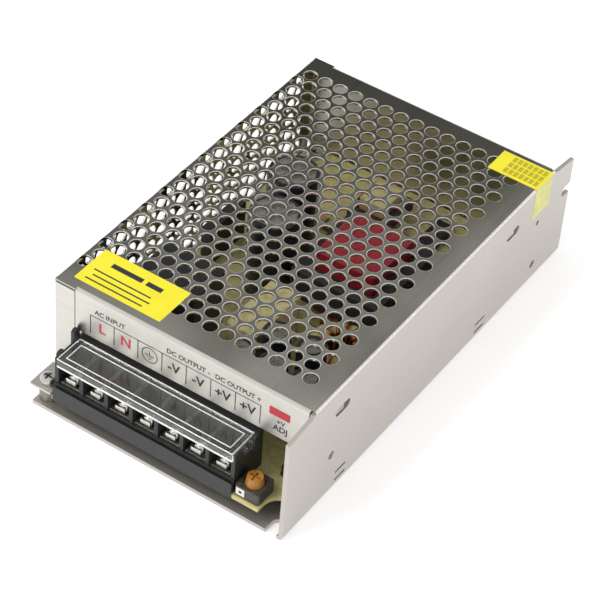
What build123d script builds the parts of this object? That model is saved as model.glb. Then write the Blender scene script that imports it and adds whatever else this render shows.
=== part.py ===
"""Mesh case switching power supply: folded chassis, perforated cover, seven way terminal block and circuit board.

Millimetres. X runs across the case, Y along it from the terminals to the back, Z up.
The origin is on the table under the middle of the case.
"""

from build123d import *
import math
import os

os.makedirs("parts", exist_ok=True)

# Case
case_width = 98.0
case_length = 170.0
case_height = 45.0
foot_reach = 12.5
cover_length = case_length - 2 * foot_reach
chassis_sheet = 1.5
cover_sheet = 0.8
sheet_gap = 0.1
slip_gap = 0.3
bend_inside = 0.4

# Side wall
ear_top_outer = 41.5
ear_top_inner = 43.4
lip_height = 7.0
plate_slot_width = 4.3
plate_slot_depth = 5.9
plate_slot_edge = 4.35
ear_slot_width = 3.9
ear_slot_depth = 5.3
ear_slot_height = 29.2
hook_slot_length = 8.0
hook_slot_height = 3.2
hook_slot_level = 34.7
hook_slot_places = (-55.7, 45.9)
side_hole_radius = 1.5
side_hole_places = ((-60.0, 17.3), (65.0, 7.6))
locating_hole_radius = 1.0
locating_hole_place = (63.8, 27.1)
lance_length = 6.0
lance_height = 0.9
lance_levels = (3.2, 6.6)
lance_places = (-53.6, 30.7)
bottom_hole_radius = 1.5
bottom_hole_spacing_x = 70.0
bottom_hole_spacing_y = 110.0

# Cover
skirt_height = 17.0
flange_width = 8.2
foot_level = 8.0
foot_screw_shift = 2.0
fold_gap = 0.3
tongue_width = 13.0
tongue_bottom = 31.0
hook_length = 6.6
hook_height = 2.0
hook_reach = 1.3
wall_bottom = 0.3
flange_top_gap = 0.6

# Perforation
hole_pitch = 6.2
hole_diameter = 4.9
top_rows = 24
top_columns = 14
top_right_column = 39.5
top_first_row = 12.1
wall_columns = 11
wall_top_column = 39.0

# Circuit board
board_thickness = 1.6
board_level = 6.4
board_edge_gap = 0.4
board_front_inset = 0.3
board_back_inset = 1.6
board_notch_radius = 5.4
insulator_thickness = 0.3
insulator_gap = 0.3
insulator_inset = 4.0
spacer_radius = 3.0
spacer_hole_radius = 1.5
board_spacer_places = (
    (-42.0, 19.0 - case_length / 2),
    (42.0, 25.0 - case_length / 2),
    (-42.0, case_length / 2 - 19.0),
    (42.0, case_length / 2 - 19.0),
)

# Fasteners, all M3
screw_radius = 1.45
screw_head_radius = 2.8
screw_head_height = 2.1
screw_end_gap = 1.0
screw_sides = 12
shank_sides = 6

# Terminal block
way_count = 7
way_pitch = 9.7
barrier_thickness = 1.4
block_right = 29.4
block_depth = 16.0
block_height = 16.0
block_front_inset = 0.3
sill_height = 5.5
sill_slope = 0.8
barrier_setback = 1.1
way_depth = 9.4
body_drop = 0.6
contact_thickness = 0.8
clamp_size = 6.8
clamp_thickness = 0.9
clamp_gap = 0.3
clamp_lip_height = 1.2
clamp_lip_thickness = 0.5
clamp_front_gap = 0.9
terminal_screw_length = 5.0
terminal_bore_radius = 1.8
terminal_bore_depth = 3.6
contact_side_gap = 0.4
contact_front_gap = 0.6

# Terminal lid
lid_thickness = 1.0
lid_frame_width = 2.4
lid_frame_rise = 0.3
lid_rest_gap = 0.3
lid_end_gap = 0.4
lid_front_gap = 0.1
lid_rim_depth = 2.2
lid_rim_thickness = 0.8
lid_pin_radius = 0.75
lid_pin_clearance = 0.08
lid_pin_setback = 1.6
lid_tail = 0.9
lid_ear_thickness = 1.5
lid_ear_reach = 1.4
ear_overlap = 0.3
rear_ear_top = 29.8
front_ear_top = 25.8
front_ear_y = 3.6 - case_length / 2
front_ear_depth = 3.2
right_ear_bottom = 18.0
ear_chamfer = 0.8
lid_clip_y = 7.0 - case_length / 2
lid_clip_width = 3.4
lid_clip_depth = 3.2
lid_clip_thickness = 0.8

# Adjuster and indicator
trim_pot_place = (34.4, 5.4 - case_length / 2)
trim_pot_size = 9.0
trim_pot_height = 4.6
rotor_radius = 3.2
rotor_height = 2.6
rotor_gap = 0.05
rotor_slot_length = 4.8
rotor_slot_width = 0.9
rotor_slot_depth = 1.0
rotor_sink = 1.0
trim_pot_corner = 0.6
indicator_place = (37.5, 17.4 - case_length / 2)
indicator_radius = 1.5
indicator_height = 4.0
indicator_dome = 0.9

# Parts on the circuit board
choke_place = (-27.0, 49.0 - case_length / 2)
choke_size = (24.0, 20.0, 26.0)
box_chamfer = 1.6
film_capacitor_place = (1.0, -28.0)
film_capacitor_size = (12.0, 26.0, 20.0)
disc_radius = 5.0
disc_thickness = 3.6
disc_places = ((-9.5, 30.0 - case_length / 2), (-9.5, 42.0 - case_length / 2))
fuse_place = (-30.0, 27.0 - case_length / 2)
fuse_length = 20.0
fuse_radius = 2.6
thermistor_place = (-37.0, -16.0)
thermistor_radius = 5.5
bridge_place = (-39.0, 6.0)
bridge_size = (4.6, 20.0, 15.0)
bulk_places = ((-15.0, 0.0), (-22.0, 21.0))
bulk_radius = 9.0
bulk_height = 33.0
capacitor_sides = 16
winding_gap = 0.3
main_place = (13.0, 12.0)
main_frame = (34.0, 36.0, 12.0)
main_center_leg = 8.0
main_side_leg = 5.0
main_winding_height = 26.0
drive_place = (-4.0, 50.0)
drive_frame = (16.0, 18.0, 4.5)
drive_center_leg = 4.0
drive_side_leg = 2.5
drive_winding_height = 13.0
inductor_place = (25.0, -20.0)
inductor_outer = 10.5
inductor_inner = 5.0
inductor_height = 11.0
inductor_turns = 14
inductor_wire = 1.2
output_capacitor_radius = 5.0
output_capacitor_height = 25.0
output_capacitor_places = (
    (8.0, 33.0 - case_length / 2),
    (20.0, 34.5 - case_length / 2),
    (32.0, 34.5 - case_length / 2),
    (13.0, 46.5 - case_length / 2),
    (25.5, 47.5 - case_length / 2),
)
package_width = 15.6
package_height = 20.0
package_thickness = 4.8
lead_count = 3
lead_pitch = 5.4
lead_width = 1.2
lead_depth = 0.6
package_level = 12.0
transistor_places = (28.0, 48.0)
rectifier_places = (-40.0, -20.0)
pad_thickness = 0.3
spreader_thickness = 3.0
spreader_gap = 0.2
spreader_ends = (-50.0, 58.0)
spreader_top = 30.4
bar_height = 7.0
bar_thickness = 1.6
bar_level = 22.0
bar_overhang = 2.0
chip_place = (16.0, 52.0)
chip_size = (6.4, 19.0, 3.3)
resistor_places = ((-36.0, 40.0), (-36.0, 50.0), (28.0, 44.0), (-14.0, 36.5))
resistor_length = 11.0
resistor_radius = 2.2

# Worked out from the sizes above
half_width = case_width / 2
half_length = case_length / 2
half_cover = cover_length / 2
wall_inner = half_width - chassis_sheet
cover_wall_inner = -half_width + cover_sheet
plate_left = cover_wall_inner + sheet_gap
cover_underside = case_height - cover_sheet
wall_top = cover_underside - sheet_gap
skirt_bottom = case_height - skirt_height
skirt_left = -half_width + flange_width + fold_gap
skirt_right = wall_inner - slip_gap
flange_right = -half_width + flange_width
foot_center_x = -half_width + flange_width / 2
foot_center_y = (half_length + half_cover) / 2 + foot_screw_shift
back_bottom = chassis_sheet + slip_gap
flange_top = cover_underside - flange_top_gap
foot_top = foot_level + cover_sheet
tongue_right = wall_inner - sheet_gap
board_top = board_level + board_thickness
flat_down = 180 / screw_sides
hole_side = hole_diameter * math.sqrt(math.pi) / 2
board_foot_notch = flange_right + board_edge_gap
board_flange_notch = -half_cover + cover_sheet + board_edge_gap
board_left = plate_left + chassis_sheet + board_edge_gap
board_right = wall_inner - board_edge_gap
board_front = -half_length + board_front_inset
board_back = half_cover - board_back_inset
plate_slot_x = half_width - plate_slot_edge
plate_slot_y = half_length - plate_slot_depth + plate_slot_width / 2
bend_outside = bend_inside + cover_sheet
row_pitch = hole_pitch * math.sqrt(3) / 2
block_width = way_count * way_pitch + barrier_thickness
block_left = block_right - block_width
block_front = -half_length + block_front_inset
block_back = block_front + block_depth
block_top = board_top + block_height
block_center_x = (block_left + block_right) / 2
sill_top = board_top + sill_height
body_top = block_top - body_drop
barrier_front = block_front + barrier_setback
contact_front = barrier_front + contact_front_gap
way_back = barrier_front + way_depth
way_width = way_pitch - barrier_thickness
way_places = [block_center_x + way_pitch * (way - (way_count - 1) / 2) for way in range(way_count)]
contact_top = sill_top + contact_thickness
clamp_bottom = contact_top + clamp_gap
clamp_top = clamp_bottom + clamp_thickness
clamp_y = barrier_front + clamp_size / 2 + clamp_front_gap
lid_bottom = block_top + lid_rest_gap
lid_pin_z = lid_bottom + lid_thickness / 2
lid_pin_y = -half_cover - lid_pin_setback
barrier_back = lid_pin_y - lid_ear_reach + ear_overlap
right_ear_top = lid_pin_z + lid_ear_reach
rotor_top = board_top + trim_pot_height + rotor_height
spreader_right = wall_inner - spreader_gap
spreader_left = spreader_right - spreader_thickness
pad_left = spreader_left - pad_thickness
package_left = pad_left - package_thickness
bar_left = package_left - bar_thickness
lid_left = block_left + barrier_thickness + lid_end_gap
lid_right = block_right - lid_end_gap
lid_front = -half_length + lid_front_gap
lid_back = lid_pin_y + lid_tail
clip_gap = block_right + slip_gap - lid_right


def mirrored(values):
    """The given distances and their twins on the other side of zero."""
    return [sign * value for value in values for sign in (-1, 1)]


def top_hole_places():
    """Centres of the staggered holes in the top, row by row from the front."""
    places = []
    for row in range(top_rows):
        stagger = hole_pitch / 2 if row % 2 else 0
        for column in range(top_columns):
            x = top_right_column - stagger - column * hole_pitch
            places.append((x, -half_cover + top_first_row + row * row_pitch))
    return places


def wall_hole_places():
    """Centres of the holes in the left wall, as Y and Z, in the rows of the top."""
    places = []
    for column in range(wall_columns):
        for row in range(column % 2, top_rows, 2):
            y = -half_cover + top_first_row + row * row_pitch
            places.append((y, wall_top_column - column * hole_pitch / 2))
    return places


# Chassis: bottom plate, side wall and left lip, folded from one sheet
with BuildPart() as chassis:
    with BuildSketch(Plane.XY):
        with Locations(((plate_left + half_width) / 2, 0)):
            Rectangle(half_width - plate_left, case_length)
        with Locations([(plate_slot_x, y) for y in mirrored([plate_slot_y])]):
            Circle(plate_slot_width / 2, mode=Mode.SUBTRACT)
        with Locations([(plate_slot_x, y) for y in mirrored([plate_slot_y + plate_slot_depth / 2])]):
            Rectangle(plate_slot_width, plate_slot_depth, mode=Mode.SUBTRACT)
        with GridLocations(bottom_hole_spacing_x, bottom_hole_spacing_y, 2, 2):
            Circle(bottom_hole_radius, mode=Mode.SUBTRACT)
    extrude(amount=chassis_sheet)
    with BuildSketch(Plane.YZ.offset(wall_inner)):
        with BuildLine():
            Polyline(
                (-half_length, 0),
                (-half_length, ear_top_outer),
                (-half_cover, ear_top_inner),
                (-half_cover, wall_top),
                (half_cover, wall_top),
                (half_cover, ear_top_inner),
                (half_length, ear_top_outer),
                (half_length, 0),
                close=True,
            )
        make_face()
        with Locations([(y, hook_slot_level) for y in hook_slot_places]):
            SlotOverall(hook_slot_length, hook_slot_height, mode=Mode.SUBTRACT)
        with Locations(side_hole_places):
            Circle(side_hole_radius, mode=Mode.SUBTRACT)
        with Locations(locating_hole_place):
            RegularPolygon(locating_hole_radius, screw_sides, mode=Mode.SUBTRACT)
        with Locations([(y, z) for y in lance_places for z in lance_levels]):
            Rectangle(lance_length, lance_height, mode=Mode.SUBTRACT)
        with Locations((half_length - ear_slot_depth + ear_slot_width / 2, ear_slot_height)):
            Circle(ear_slot_width / 2, mode=Mode.SUBTRACT)
        with Locations((half_length - ear_slot_depth / 2 + ear_slot_width / 2, ear_slot_height)):
            Rectangle(ear_slot_depth, ear_slot_width, mode=Mode.SUBTRACT)
    extrude(amount=chassis_sheet)
    with BuildSketch(Plane.XY):
        with Locations((plate_left + chassis_sheet / 2, 0)):
            Rectangle(chassis_sheet, cover_length - 2 * flange_width)
    extrude(amount=lip_height)
    wall_bend = chassis.edges().filter_by(Axis.Y).sort_by_distance((half_width, 0, 0))[0]
    fillet(wall_bend, radius=chassis_sheet + bend_inside)
chassis.part.label = "chassis"
export_step(chassis.part, "parts/chassis.step")

# Spacers pressed into the plate under the cover's two feet
foot_places = [(foot_center_x, y) for y in mirrored([foot_center_y])]
with BuildPart() as foot_spacers:
    with BuildSketch(Plane.XY.offset(chassis_sheet)):
        with Locations(foot_places):
            RegularPolygon(spacer_radius, screw_sides)
            RegularPolygon(spacer_hole_radius, shank_sides, mode=Mode.SUBTRACT)
    extrude(amount=foot_level - chassis_sheet)
foot_spacers.part.label = "foot_spacers"
export_step(foot_spacers.part, "parts/foot_spacers.step")

# Cover: top and left wall, front and back skirts, corner flanges with feet, tongues with hooks
with BuildPart() as cover:
    with BuildSketch(Plane.XZ.offset(-half_cover)) as fold:
        with BuildLine():
            Polyline(
                (-half_width, wall_bottom),
                (-half_width, case_height),
                (half_width, case_height),
                (half_width, cover_underside),
                (cover_wall_inner, cover_underside),
                (cover_wall_inner, wall_bottom),
                close=True,
            )
        make_face()
        fillet(fold.vertices().sort_by_distance((-half_width, case_height))[0], radius=bend_outside)
        fillet(fold.vertices().sort_by_distance((cover_wall_inner, cover_underside))[0], radius=bend_inside)
    extrude(amount=cover_length)
    with BuildSketch(Plane.XY.offset(cover_underside)):
        with Locations([((skirt_left + half_width) / 2, y) for y in mirrored([half_cover - bend_outside / 2])]):
            Rectangle(half_width - skirt_left, bend_outside)
    extrude(amount=cover_sheet, mode=Mode.SUBTRACT)
    for side, bottom in ((-1, skirt_bottom), (1, back_bottom)):
        outer = side * half_cover
        inner = side * (half_cover - cover_sheet)
        joined = side * (half_cover - 2 * bend_outside)
        with BuildSketch(Plane.YZ.offset(skirt_left)) as skirt:
            with BuildLine():
                Polyline(
                    (joined, case_height),
                    (outer, case_height),
                    (outer, bottom),
                    (inner, bottom),
                    (inner, cover_underside),
                    (joined, cover_underside),
                    close=True,
                )
            make_face()
            fillet(skirt.vertices().sort_by_distance((outer, case_height))[0], radius=bend_outside)
            fillet(skirt.vertices().sort_by_distance((inner, cover_underside))[0], radius=bend_inside)
        extrude(amount=skirt_right - skirt_left)
    for side in (-1, 1):
        outer = side * half_cover
        inner = side * (half_cover - cover_sheet)
        toe = side * half_length
        with BuildSketch(Plane.YZ.offset(-half_width)) as flange:
            with BuildLine():
                Polyline(
                    (inner, flange_top),
                    (outer, flange_top),
                    (outer, foot_top),
                    (toe, foot_top),
                    (toe, foot_level),
                    (inner, foot_level),
                    close=True,
                )
            make_face()
            fillet(flange.vertices().sort_by_distance((outer, foot_top))[0], radius=bend_inside)
            fillet(flange.vertices().sort_by_distance((inner, foot_level))[0], radius=bend_outside)
        extrude(amount=flange_width)
    with BuildSketch(Plane.XY.offset(foot_level)):
        with Locations(foot_places):
            RegularPolygon(screw_radius + sheet_gap, screw_sides)
    extrude(amount=cover_sheet, mode=Mode.SUBTRACT)
    with BuildSketch(Plane.XY.offset(tongue_bottom)):
        with Locations([(tongue_right - cover_sheet / 2, y) for y in hook_slot_places]):
            Rectangle(cover_sheet, tongue_width)
    extrude(amount=cover_underside - tongue_bottom)
    with BuildSketch(Plane.YZ.offset(tongue_right)):
        with Locations([(y, hook_slot_level) for y in hook_slot_places]):
            Rectangle(hook_length, hook_height)
    extrude(amount=hook_reach)
    with BuildSketch(Plane.XY.offset(cover_underside)):
        with Locations(top_hole_places()):
            Rectangle(hole_side, hole_side)
    extrude(amount=cover_sheet, clean=False, mode=Mode.SUBTRACT)
    with BuildSketch(Plane.YZ.offset(-half_width)):
        with Locations(wall_hole_places()):
            Rectangle(hole_side, hole_side)
    extrude(amount=cover_sheet, clean=False, mode=Mode.SUBTRACT)
cover.part.label = "cover"
export_step(cover.part, "parts/cover.step")

# Pan head screws that hold the feet
with BuildPart() as cover_screws:
    with BuildSketch(Plane.XY.offset(foot_top)):
        with Locations(foot_places):
            RegularPolygon(screw_head_radius, screw_sides)
    extrude(amount=screw_head_height)
    chamfer(cover_screws.faces().sort_by(Axis.Z)[-2:].edges(), length=screw_head_height / 3)
    with BuildSketch(Plane.XY.offset(foot_top)):
        with Locations(foot_places):
            RegularPolygon(screw_radius, shank_sides)
    extrude(amount=-(foot_top - chassis_sheet - screw_end_gap))
cover_screws.part.label = "cover_screws"
export_step(cover_screws.part, "parts/cover_screws.step")

# Circuit board, with room for the left foot and for a screw head in the plate's slot
with BuildPart() as board:
    with BuildSketch(Plane.XY.offset(board_level)):
        with Locations(((board_left + board_right) / 2, (board_front + board_back) / 2)):
            Rectangle(board_right - board_left, board_back - board_front)
        with Locations(((board_left + board_foot_notch) / 2, (board_front + board_flange_notch) / 2)):
            Rectangle(board_foot_notch - board_left, board_flange_notch - board_front, mode=Mode.SUBTRACT)
        with Locations((plate_slot_x, -plate_slot_y)):
            Circle(board_notch_radius, mode=Mode.SUBTRACT)
        with Locations((plate_slot_x, -(plate_slot_y + half_length) / 2)):
            Rectangle(2 * board_notch_radius, half_length - plate_slot_y, mode=Mode.SUBTRACT)
        with Locations(board_spacer_places):
            RegularPolygon(spacer_hole_radius, shank_sides, mode=Mode.SUBTRACT)
    extrude(amount=board_thickness)
board.part.label = "board"
export_step(board.part, "parts/board.step")

# Spacers and screws of the board
with BuildPart() as board_spacers:
    with BuildSketch(Plane.XY.offset(chassis_sheet)):
        with Locations(board_spacer_places):
            RegularPolygon(spacer_radius, shank_sides)
            RegularPolygon(spacer_hole_radius, shank_sides, mode=Mode.SUBTRACT)
    extrude(amount=board_level - chassis_sheet)
board_spacers.part.label = "board_spacers"
export_step(board_spacers.part, "parts/board_spacers.step")

with BuildPart() as board_screws:
    with BuildSketch(Plane.XY.offset(board_top)):
        with Locations(board_spacer_places):
            RegularPolygon(screw_head_radius, screw_sides)
    extrude(amount=screw_head_height)
    with BuildSketch(Plane.XY.offset(board_top)):
        with Locations(board_spacer_places):
            RegularPolygon(screw_radius, shank_sides)
    extrude(amount=-(board_top - chassis_sheet - screw_end_gap))
board_screws.part.label = "board_screws"
export_step(board_screws.part, "parts/board_screws.step")

# Insulating sheet on the plate under the board
with BuildPart() as insulating_sheet:
    with BuildSketch(Plane.XY.offset(chassis_sheet)):
        with Locations(((board_left + board_right) / 2, 0)):
            Rectangle(board_right - board_left, cover_length - 2 * insulator_inset)
        with Locations(board_spacer_places):
            RegularPolygon(spacer_radius + insulator_gap, shank_sides, mode=Mode.SUBTRACT)
    extrude(amount=insulator_thickness)
insulating_sheet.part.label = "insulating_sheet"
export_step(insulating_sheet.part, "parts/insulating_sheet.step")

# Terminal block housing: sill and body from one side profile, barriers, ears for the lid
barrier_places = [block_left + barrier_thickness / 2 + way_pitch * k for k in range(way_count + 1)]
with BuildPart() as terminal_housing:
    with BuildSketch(Plane.YZ.offset(block_left)):
        with BuildLine():
            Polyline(
                (block_front, board_top),
                (block_front + sill_slope, sill_top),
                (way_back, sill_top),
                (way_back, body_top),
                (block_back, body_top),
                (block_back, board_top),
                close=True,
            )
        make_face()
    extrude(amount=block_width)
    for x in barrier_places:
        with BuildSketch(Plane.YZ.offset(x - barrier_thickness / 2)):
            with BuildLine():
                Polyline(
                    (barrier_front, sill_top),
                    (barrier_front, block_top),
                    (barrier_back, block_top),
                    (barrier_back, body_top),
                    (way_back, body_top),
                    (way_back, sill_top),
                    close=True,
                )
            make_face()
        extrude(amount=barrier_thickness)
    with BuildSketch(Plane.YZ.offset(block_left)) as left_ears:
        with Locations((lid_pin_y, (body_top + rear_ear_top) / 2)):
            Rectangle(2 * lid_ear_reach, rear_ear_top - body_top)
        with Locations((front_ear_y, (block_top + front_ear_top) / 2)):
            Rectangle(front_ear_depth, front_ear_top - block_top)
        chamfer(left_ears.vertices().sort_by(Axis.Y)[-4:], length=ear_chamfer)
    extrude(amount=barrier_thickness)
    with BuildSketch(Plane.YZ.offset(block_right)) as right_ear:
        with Locations((lid_pin_y, (right_ear_bottom + right_ear_top) / 2)):
            Rectangle(2 * lid_ear_reach, right_ear_top - right_ear_bottom)
        chamfer(right_ear.vertices().sort_by(Axis.Y)[-2:], length=ear_chamfer)
    extrude(amount=lid_ear_thickness)
    with BuildSketch(Plane.YZ.offset(block_left)):
        with Locations((lid_pin_y, lid_pin_z)):
            Circle(lid_pin_radius + lid_pin_clearance)
    extrude(amount=block_width + lid_ear_thickness, mode=Mode.SUBTRACT)
    with BuildSketch(Plane.XY.offset(sill_top)):
        with Locations([(x, clamp_y) for x in way_places]):
            RegularPolygon(terminal_bore_radius, shank_sides)
    extrude(amount=-terminal_bore_depth, mode=Mode.SUBTRACT)
terminal_housing.part.label = "terminal_housing"
export_step(terminal_housing.part, "parts/terminal_housing.step")

# Contact plates on the floor of each way
with BuildPart() as terminal_contacts:
    with BuildSketch(Plane.XY.offset(sill_top)):
        with Locations([(x, (contact_front + way_back) / 2) for x in way_places]):
            Rectangle(way_width - 2 * contact_side_gap, way_back - contact_front)
        with Locations([(x, clamp_y) for x in way_places]):
            RegularPolygon(terminal_bore_radius, shank_sides, mode=Mode.SUBTRACT)
    extrude(amount=contact_thickness)
terminal_contacts.part.label = "terminal_contacts"
export_step(terminal_contacts.part, "parts/terminal_contacts.step")

# Terminal screws and their captive square clamps, one pair a way
for way, x in enumerate(way_places, start=1):
    with BuildPart() as terminal_clamp:
        with BuildSketch(Plane.XY.offset(clamp_bottom)):
            with Locations((x, clamp_y)):
                Rectangle(clamp_size, clamp_size)
                RegularPolygon(screw_radius + sheet_gap, shank_sides, mode=Mode.SUBTRACT)
        extrude(amount=clamp_thickness)
        with BuildSketch(Plane.XY.offset(clamp_bottom)):
            with Locations((x, clamp_y - (clamp_size - clamp_lip_thickness) / 2)):
                Rectangle(clamp_size, clamp_lip_thickness)
        extrude(amount=clamp_thickness + clamp_lip_height)
    terminal_clamp.part.label = f"terminal_clamp_{way}"
    export_step(terminal_clamp.part, f"parts/terminal_clamp_{way}.step")

    with BuildPart() as terminal_screw:
        with BuildSketch(Plane.XY.offset(clamp_top)):
            with Locations((x, clamp_y)):
                RegularPolygon(screw_head_radius, screw_sides)
        extrude(amount=screw_head_height)
        with BuildSketch(Plane.XY.offset(clamp_top)):
            with Locations((x, clamp_y)):
                RegularPolygon(screw_radius, shank_sides)
        extrude(amount=-terminal_screw_length)
    terminal_screw.part.label = f"terminal_screw_{way}"
    export_step(terminal_screw.part, f"parts/terminal_screw_{way}.step")

# Clear flip-up lid with a raised frame, a front rim, end pins and a side clip
with BuildPart() as terminal_lid:
    with BuildSketch(Plane.XY.offset(lid_bottom)):
        with Locations(((lid_left + lid_right) / 2, (lid_front + lid_back) / 2)):
            Rectangle(lid_right - lid_left, lid_back - lid_front)
    extrude(amount=lid_thickness)
    with BuildSketch(Plane.XY.offset(lid_bottom + lid_thickness)):
        with Locations(((lid_left + lid_right) / 2, (lid_front + lid_back) / 2)):
            Rectangle(lid_right - lid_left, lid_back - lid_front)
            Rectangle(
                lid_right - lid_left - 2 * lid_frame_width,
                lid_back - lid_front - 2 * lid_frame_width,
                mode=Mode.SUBTRACT,
            )
    extrude(amount=lid_frame_rise)
    with BuildSketch(Plane.XY.offset(lid_bottom)):
        with Locations(((lid_left + lid_right) / 2, lid_front + lid_rim_thickness / 2)):
            Rectangle(lid_right - lid_left, lid_rim_thickness)
    extrude(amount=-lid_rim_depth)
    with BuildSketch(Plane.YZ.offset(lid_right)):
        with Locations((lid_clip_y, lid_bottom + lid_thickness - lid_clip_depth / 2)):
            Rectangle(lid_clip_width, lid_clip_depth)
    extrude(amount=clip_gap + lid_clip_thickness)
    with BuildSketch(Plane.YZ.offset(lid_right)):
        with Locations((lid_clip_y, lid_bottom - lid_clip_depth / 2)):
            Rectangle(lid_clip_width, lid_clip_depth)
    extrude(amount=clip_gap, mode=Mode.SUBTRACT)
    with BuildSketch(Plane.YZ.offset(lid_left)):
        with Locations((lid_pin_y, lid_pin_z)):
            Circle(lid_pin_radius)
    extrude(amount=-(lid_end_gap + barrier_thickness - sheet_gap))
    with BuildSketch(Plane.YZ.offset(lid_right)):
        with Locations((lid_pin_y, lid_pin_z)):
            Circle(lid_pin_radius)
    extrude(amount=lid_end_gap + lid_ear_thickness - sheet_gap)
terminal_lid.part.label = "terminal_lid"
export_step(terminal_lid.part, "parts/terminal_lid.step")

# Adjuster: square body with a round well, and the slotted rotor in it
with BuildPart() as trim_pot_body:
    with BuildSketch(Plane.XY.offset(board_top)) as pot_outline:
        with Locations(trim_pot_place):
            Rectangle(trim_pot_size, trim_pot_size)
        chamfer(pot_outline.vertices(), length=trim_pot_corner)
    extrude(amount=trim_pot_height)
    with BuildSketch(Plane.XY.offset(board_top + trim_pot_height)):
        with Locations(trim_pot_place):
            Circle(rotor_radius + rotor_gap)
    extrude(amount=-rotor_sink, mode=Mode.SUBTRACT)
trim_pot_body.part.label = "trim_pot_body"
export_step(trim_pot_body.part, "parts/trim_pot_body.step")

with BuildPart() as trim_pot_rotor:
    with BuildSketch(Plane.XY.offset(rotor_top)):
        with Locations(trim_pot_place):
            Circle(rotor_radius)
    extrude(amount=-(rotor_height + rotor_sink - rotor_gap))
    with BuildSketch(Plane.XY.offset(rotor_top)):
        with Locations(trim_pot_place):
            Rectangle(rotor_slot_length, rotor_slot_width)
            Rectangle(rotor_slot_width, rotor_slot_length)
    extrude(amount=-rotor_slot_depth, mode=Mode.SUBTRACT)
trim_pot_rotor.part.label = "trim_pot_rotor"
export_step(trim_pot_rotor.part, "parts/trim_pot_rotor.step")

# Indicator lamp beside the adjuster
with BuildPart() as indicator_led:
    with BuildSketch(Plane.XY.offset(board_top)):
        with Locations(indicator_place):
            RegularPolygon(indicator_radius, screw_sides)
    extrude(amount=indicator_height)
    chamfer(indicator_led.faces().sort_by(Axis.Z)[-1].edges(), length=indicator_dome)
indicator_led.part.label = "indicator_led"
export_step(indicator_led.part, "parts/indicator_led.step")

# Mains filter: choke, film capacitor, disc capacitors, fuse and thermistor
with BuildPart() as line_choke:
    with BuildSketch(Plane.XY.offset(board_top)) as choke_outline:
        with Locations(choke_place):
            Rectangle(choke_size[0], choke_size[1])
        chamfer(choke_outline.vertices(), length=box_chamfer)
    extrude(amount=choke_size[2])
    chamfer(line_choke.faces().sort_by(Axis.Z)[-1].edges(), length=box_chamfer / 2)
line_choke.part.label = "line_choke"
export_step(line_choke.part, "parts/line_choke.step")

with BuildPart() as film_capacitor:
    with BuildSketch(Plane.XY.offset(board_top)) as film_outline:
        with Locations(film_capacitor_place):
            Rectangle(film_capacitor_size[0], film_capacitor_size[1])
        chamfer(film_outline.vertices(), length=box_chamfer / 2)
    extrude(amount=film_capacitor_size[2])
film_capacitor.part.label = "film_capacitor"
export_step(film_capacitor.part, "parts/film_capacitor.step")

with BuildPart() as disc_capacitors:
    for x, y in disc_places:
        with BuildSketch(Plane.YZ.offset(x - disc_thickness / 2)):
            with Locations((y, board_top + disc_radius)):
                RegularPolygon(disc_radius, screw_sides, major_radius=False, rotation=flat_down)
        extrude(amount=disc_thickness)
disc_capacitors.part.label = "disc_capacitors"
export_step(disc_capacitors.part, "parts/disc_capacitors.step")

with BuildPart() as fuse:
    with BuildSketch(Plane.YZ.offset(fuse_place[0] - fuse_length / 2)):
        with Locations((fuse_place[1], board_top + fuse_radius)):
            RegularPolygon(fuse_radius, screw_sides, major_radius=False, rotation=flat_down)
    extrude(amount=fuse_length)
fuse.part.label = "fuse"
export_step(fuse.part, "parts/fuse.step")

with BuildPart() as thermistor:
    with BuildSketch(Plane.YZ.offset(thermistor_place[0] - disc_thickness / 2)):
        with Locations((thermistor_place[1], board_top + thermistor_radius)):
            RegularPolygon(thermistor_radius, screw_sides, major_radius=False, rotation=flat_down)
    extrude(amount=disc_thickness)
thermistor.part.label = "thermistor"
export_step(thermistor.part, "parts/thermistor.step")

with BuildPart() as bridge_rectifier:
    with BuildSketch(Plane.XY.offset(board_top)):
        with Locations(bridge_place):
            Rectangle(bridge_size[0], bridge_size[1])
    extrude(amount=bridge_size[2])
bridge_rectifier.part.label = "bridge_rectifier"
export_step(bridge_rectifier.part, "parts/bridge_rectifier.step")

# Electrolytic capacitors: tall ones on the mains side, slim ones on the output
with BuildPart() as bulk_capacitors:
    with BuildSketch(Plane.XY.offset(board_top)):
        with Locations(bulk_places):
            RegularPolygon(bulk_radius, capacitor_sides)
    extrude(amount=bulk_height)
    chamfer(bulk_capacitors.faces().sort_by(Axis.Z)[-2:].edges(), length=box_chamfer / 2)
bulk_capacitors.part.label = "bulk_capacitors"
export_step(bulk_capacitors.part, "parts/bulk_capacitors.step")

with BuildPart() as output_capacitors:
    with BuildSketch(Plane.XY.offset(board_top)):
        with Locations(output_capacitor_places):
            RegularPolygon(output_capacitor_radius, screw_sides)
    extrude(amount=output_capacitor_height)
output_capacitors.part.label = "output_capacitors"
export_step(output_capacitors.part, "parts/output_capacitors.step")

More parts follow.
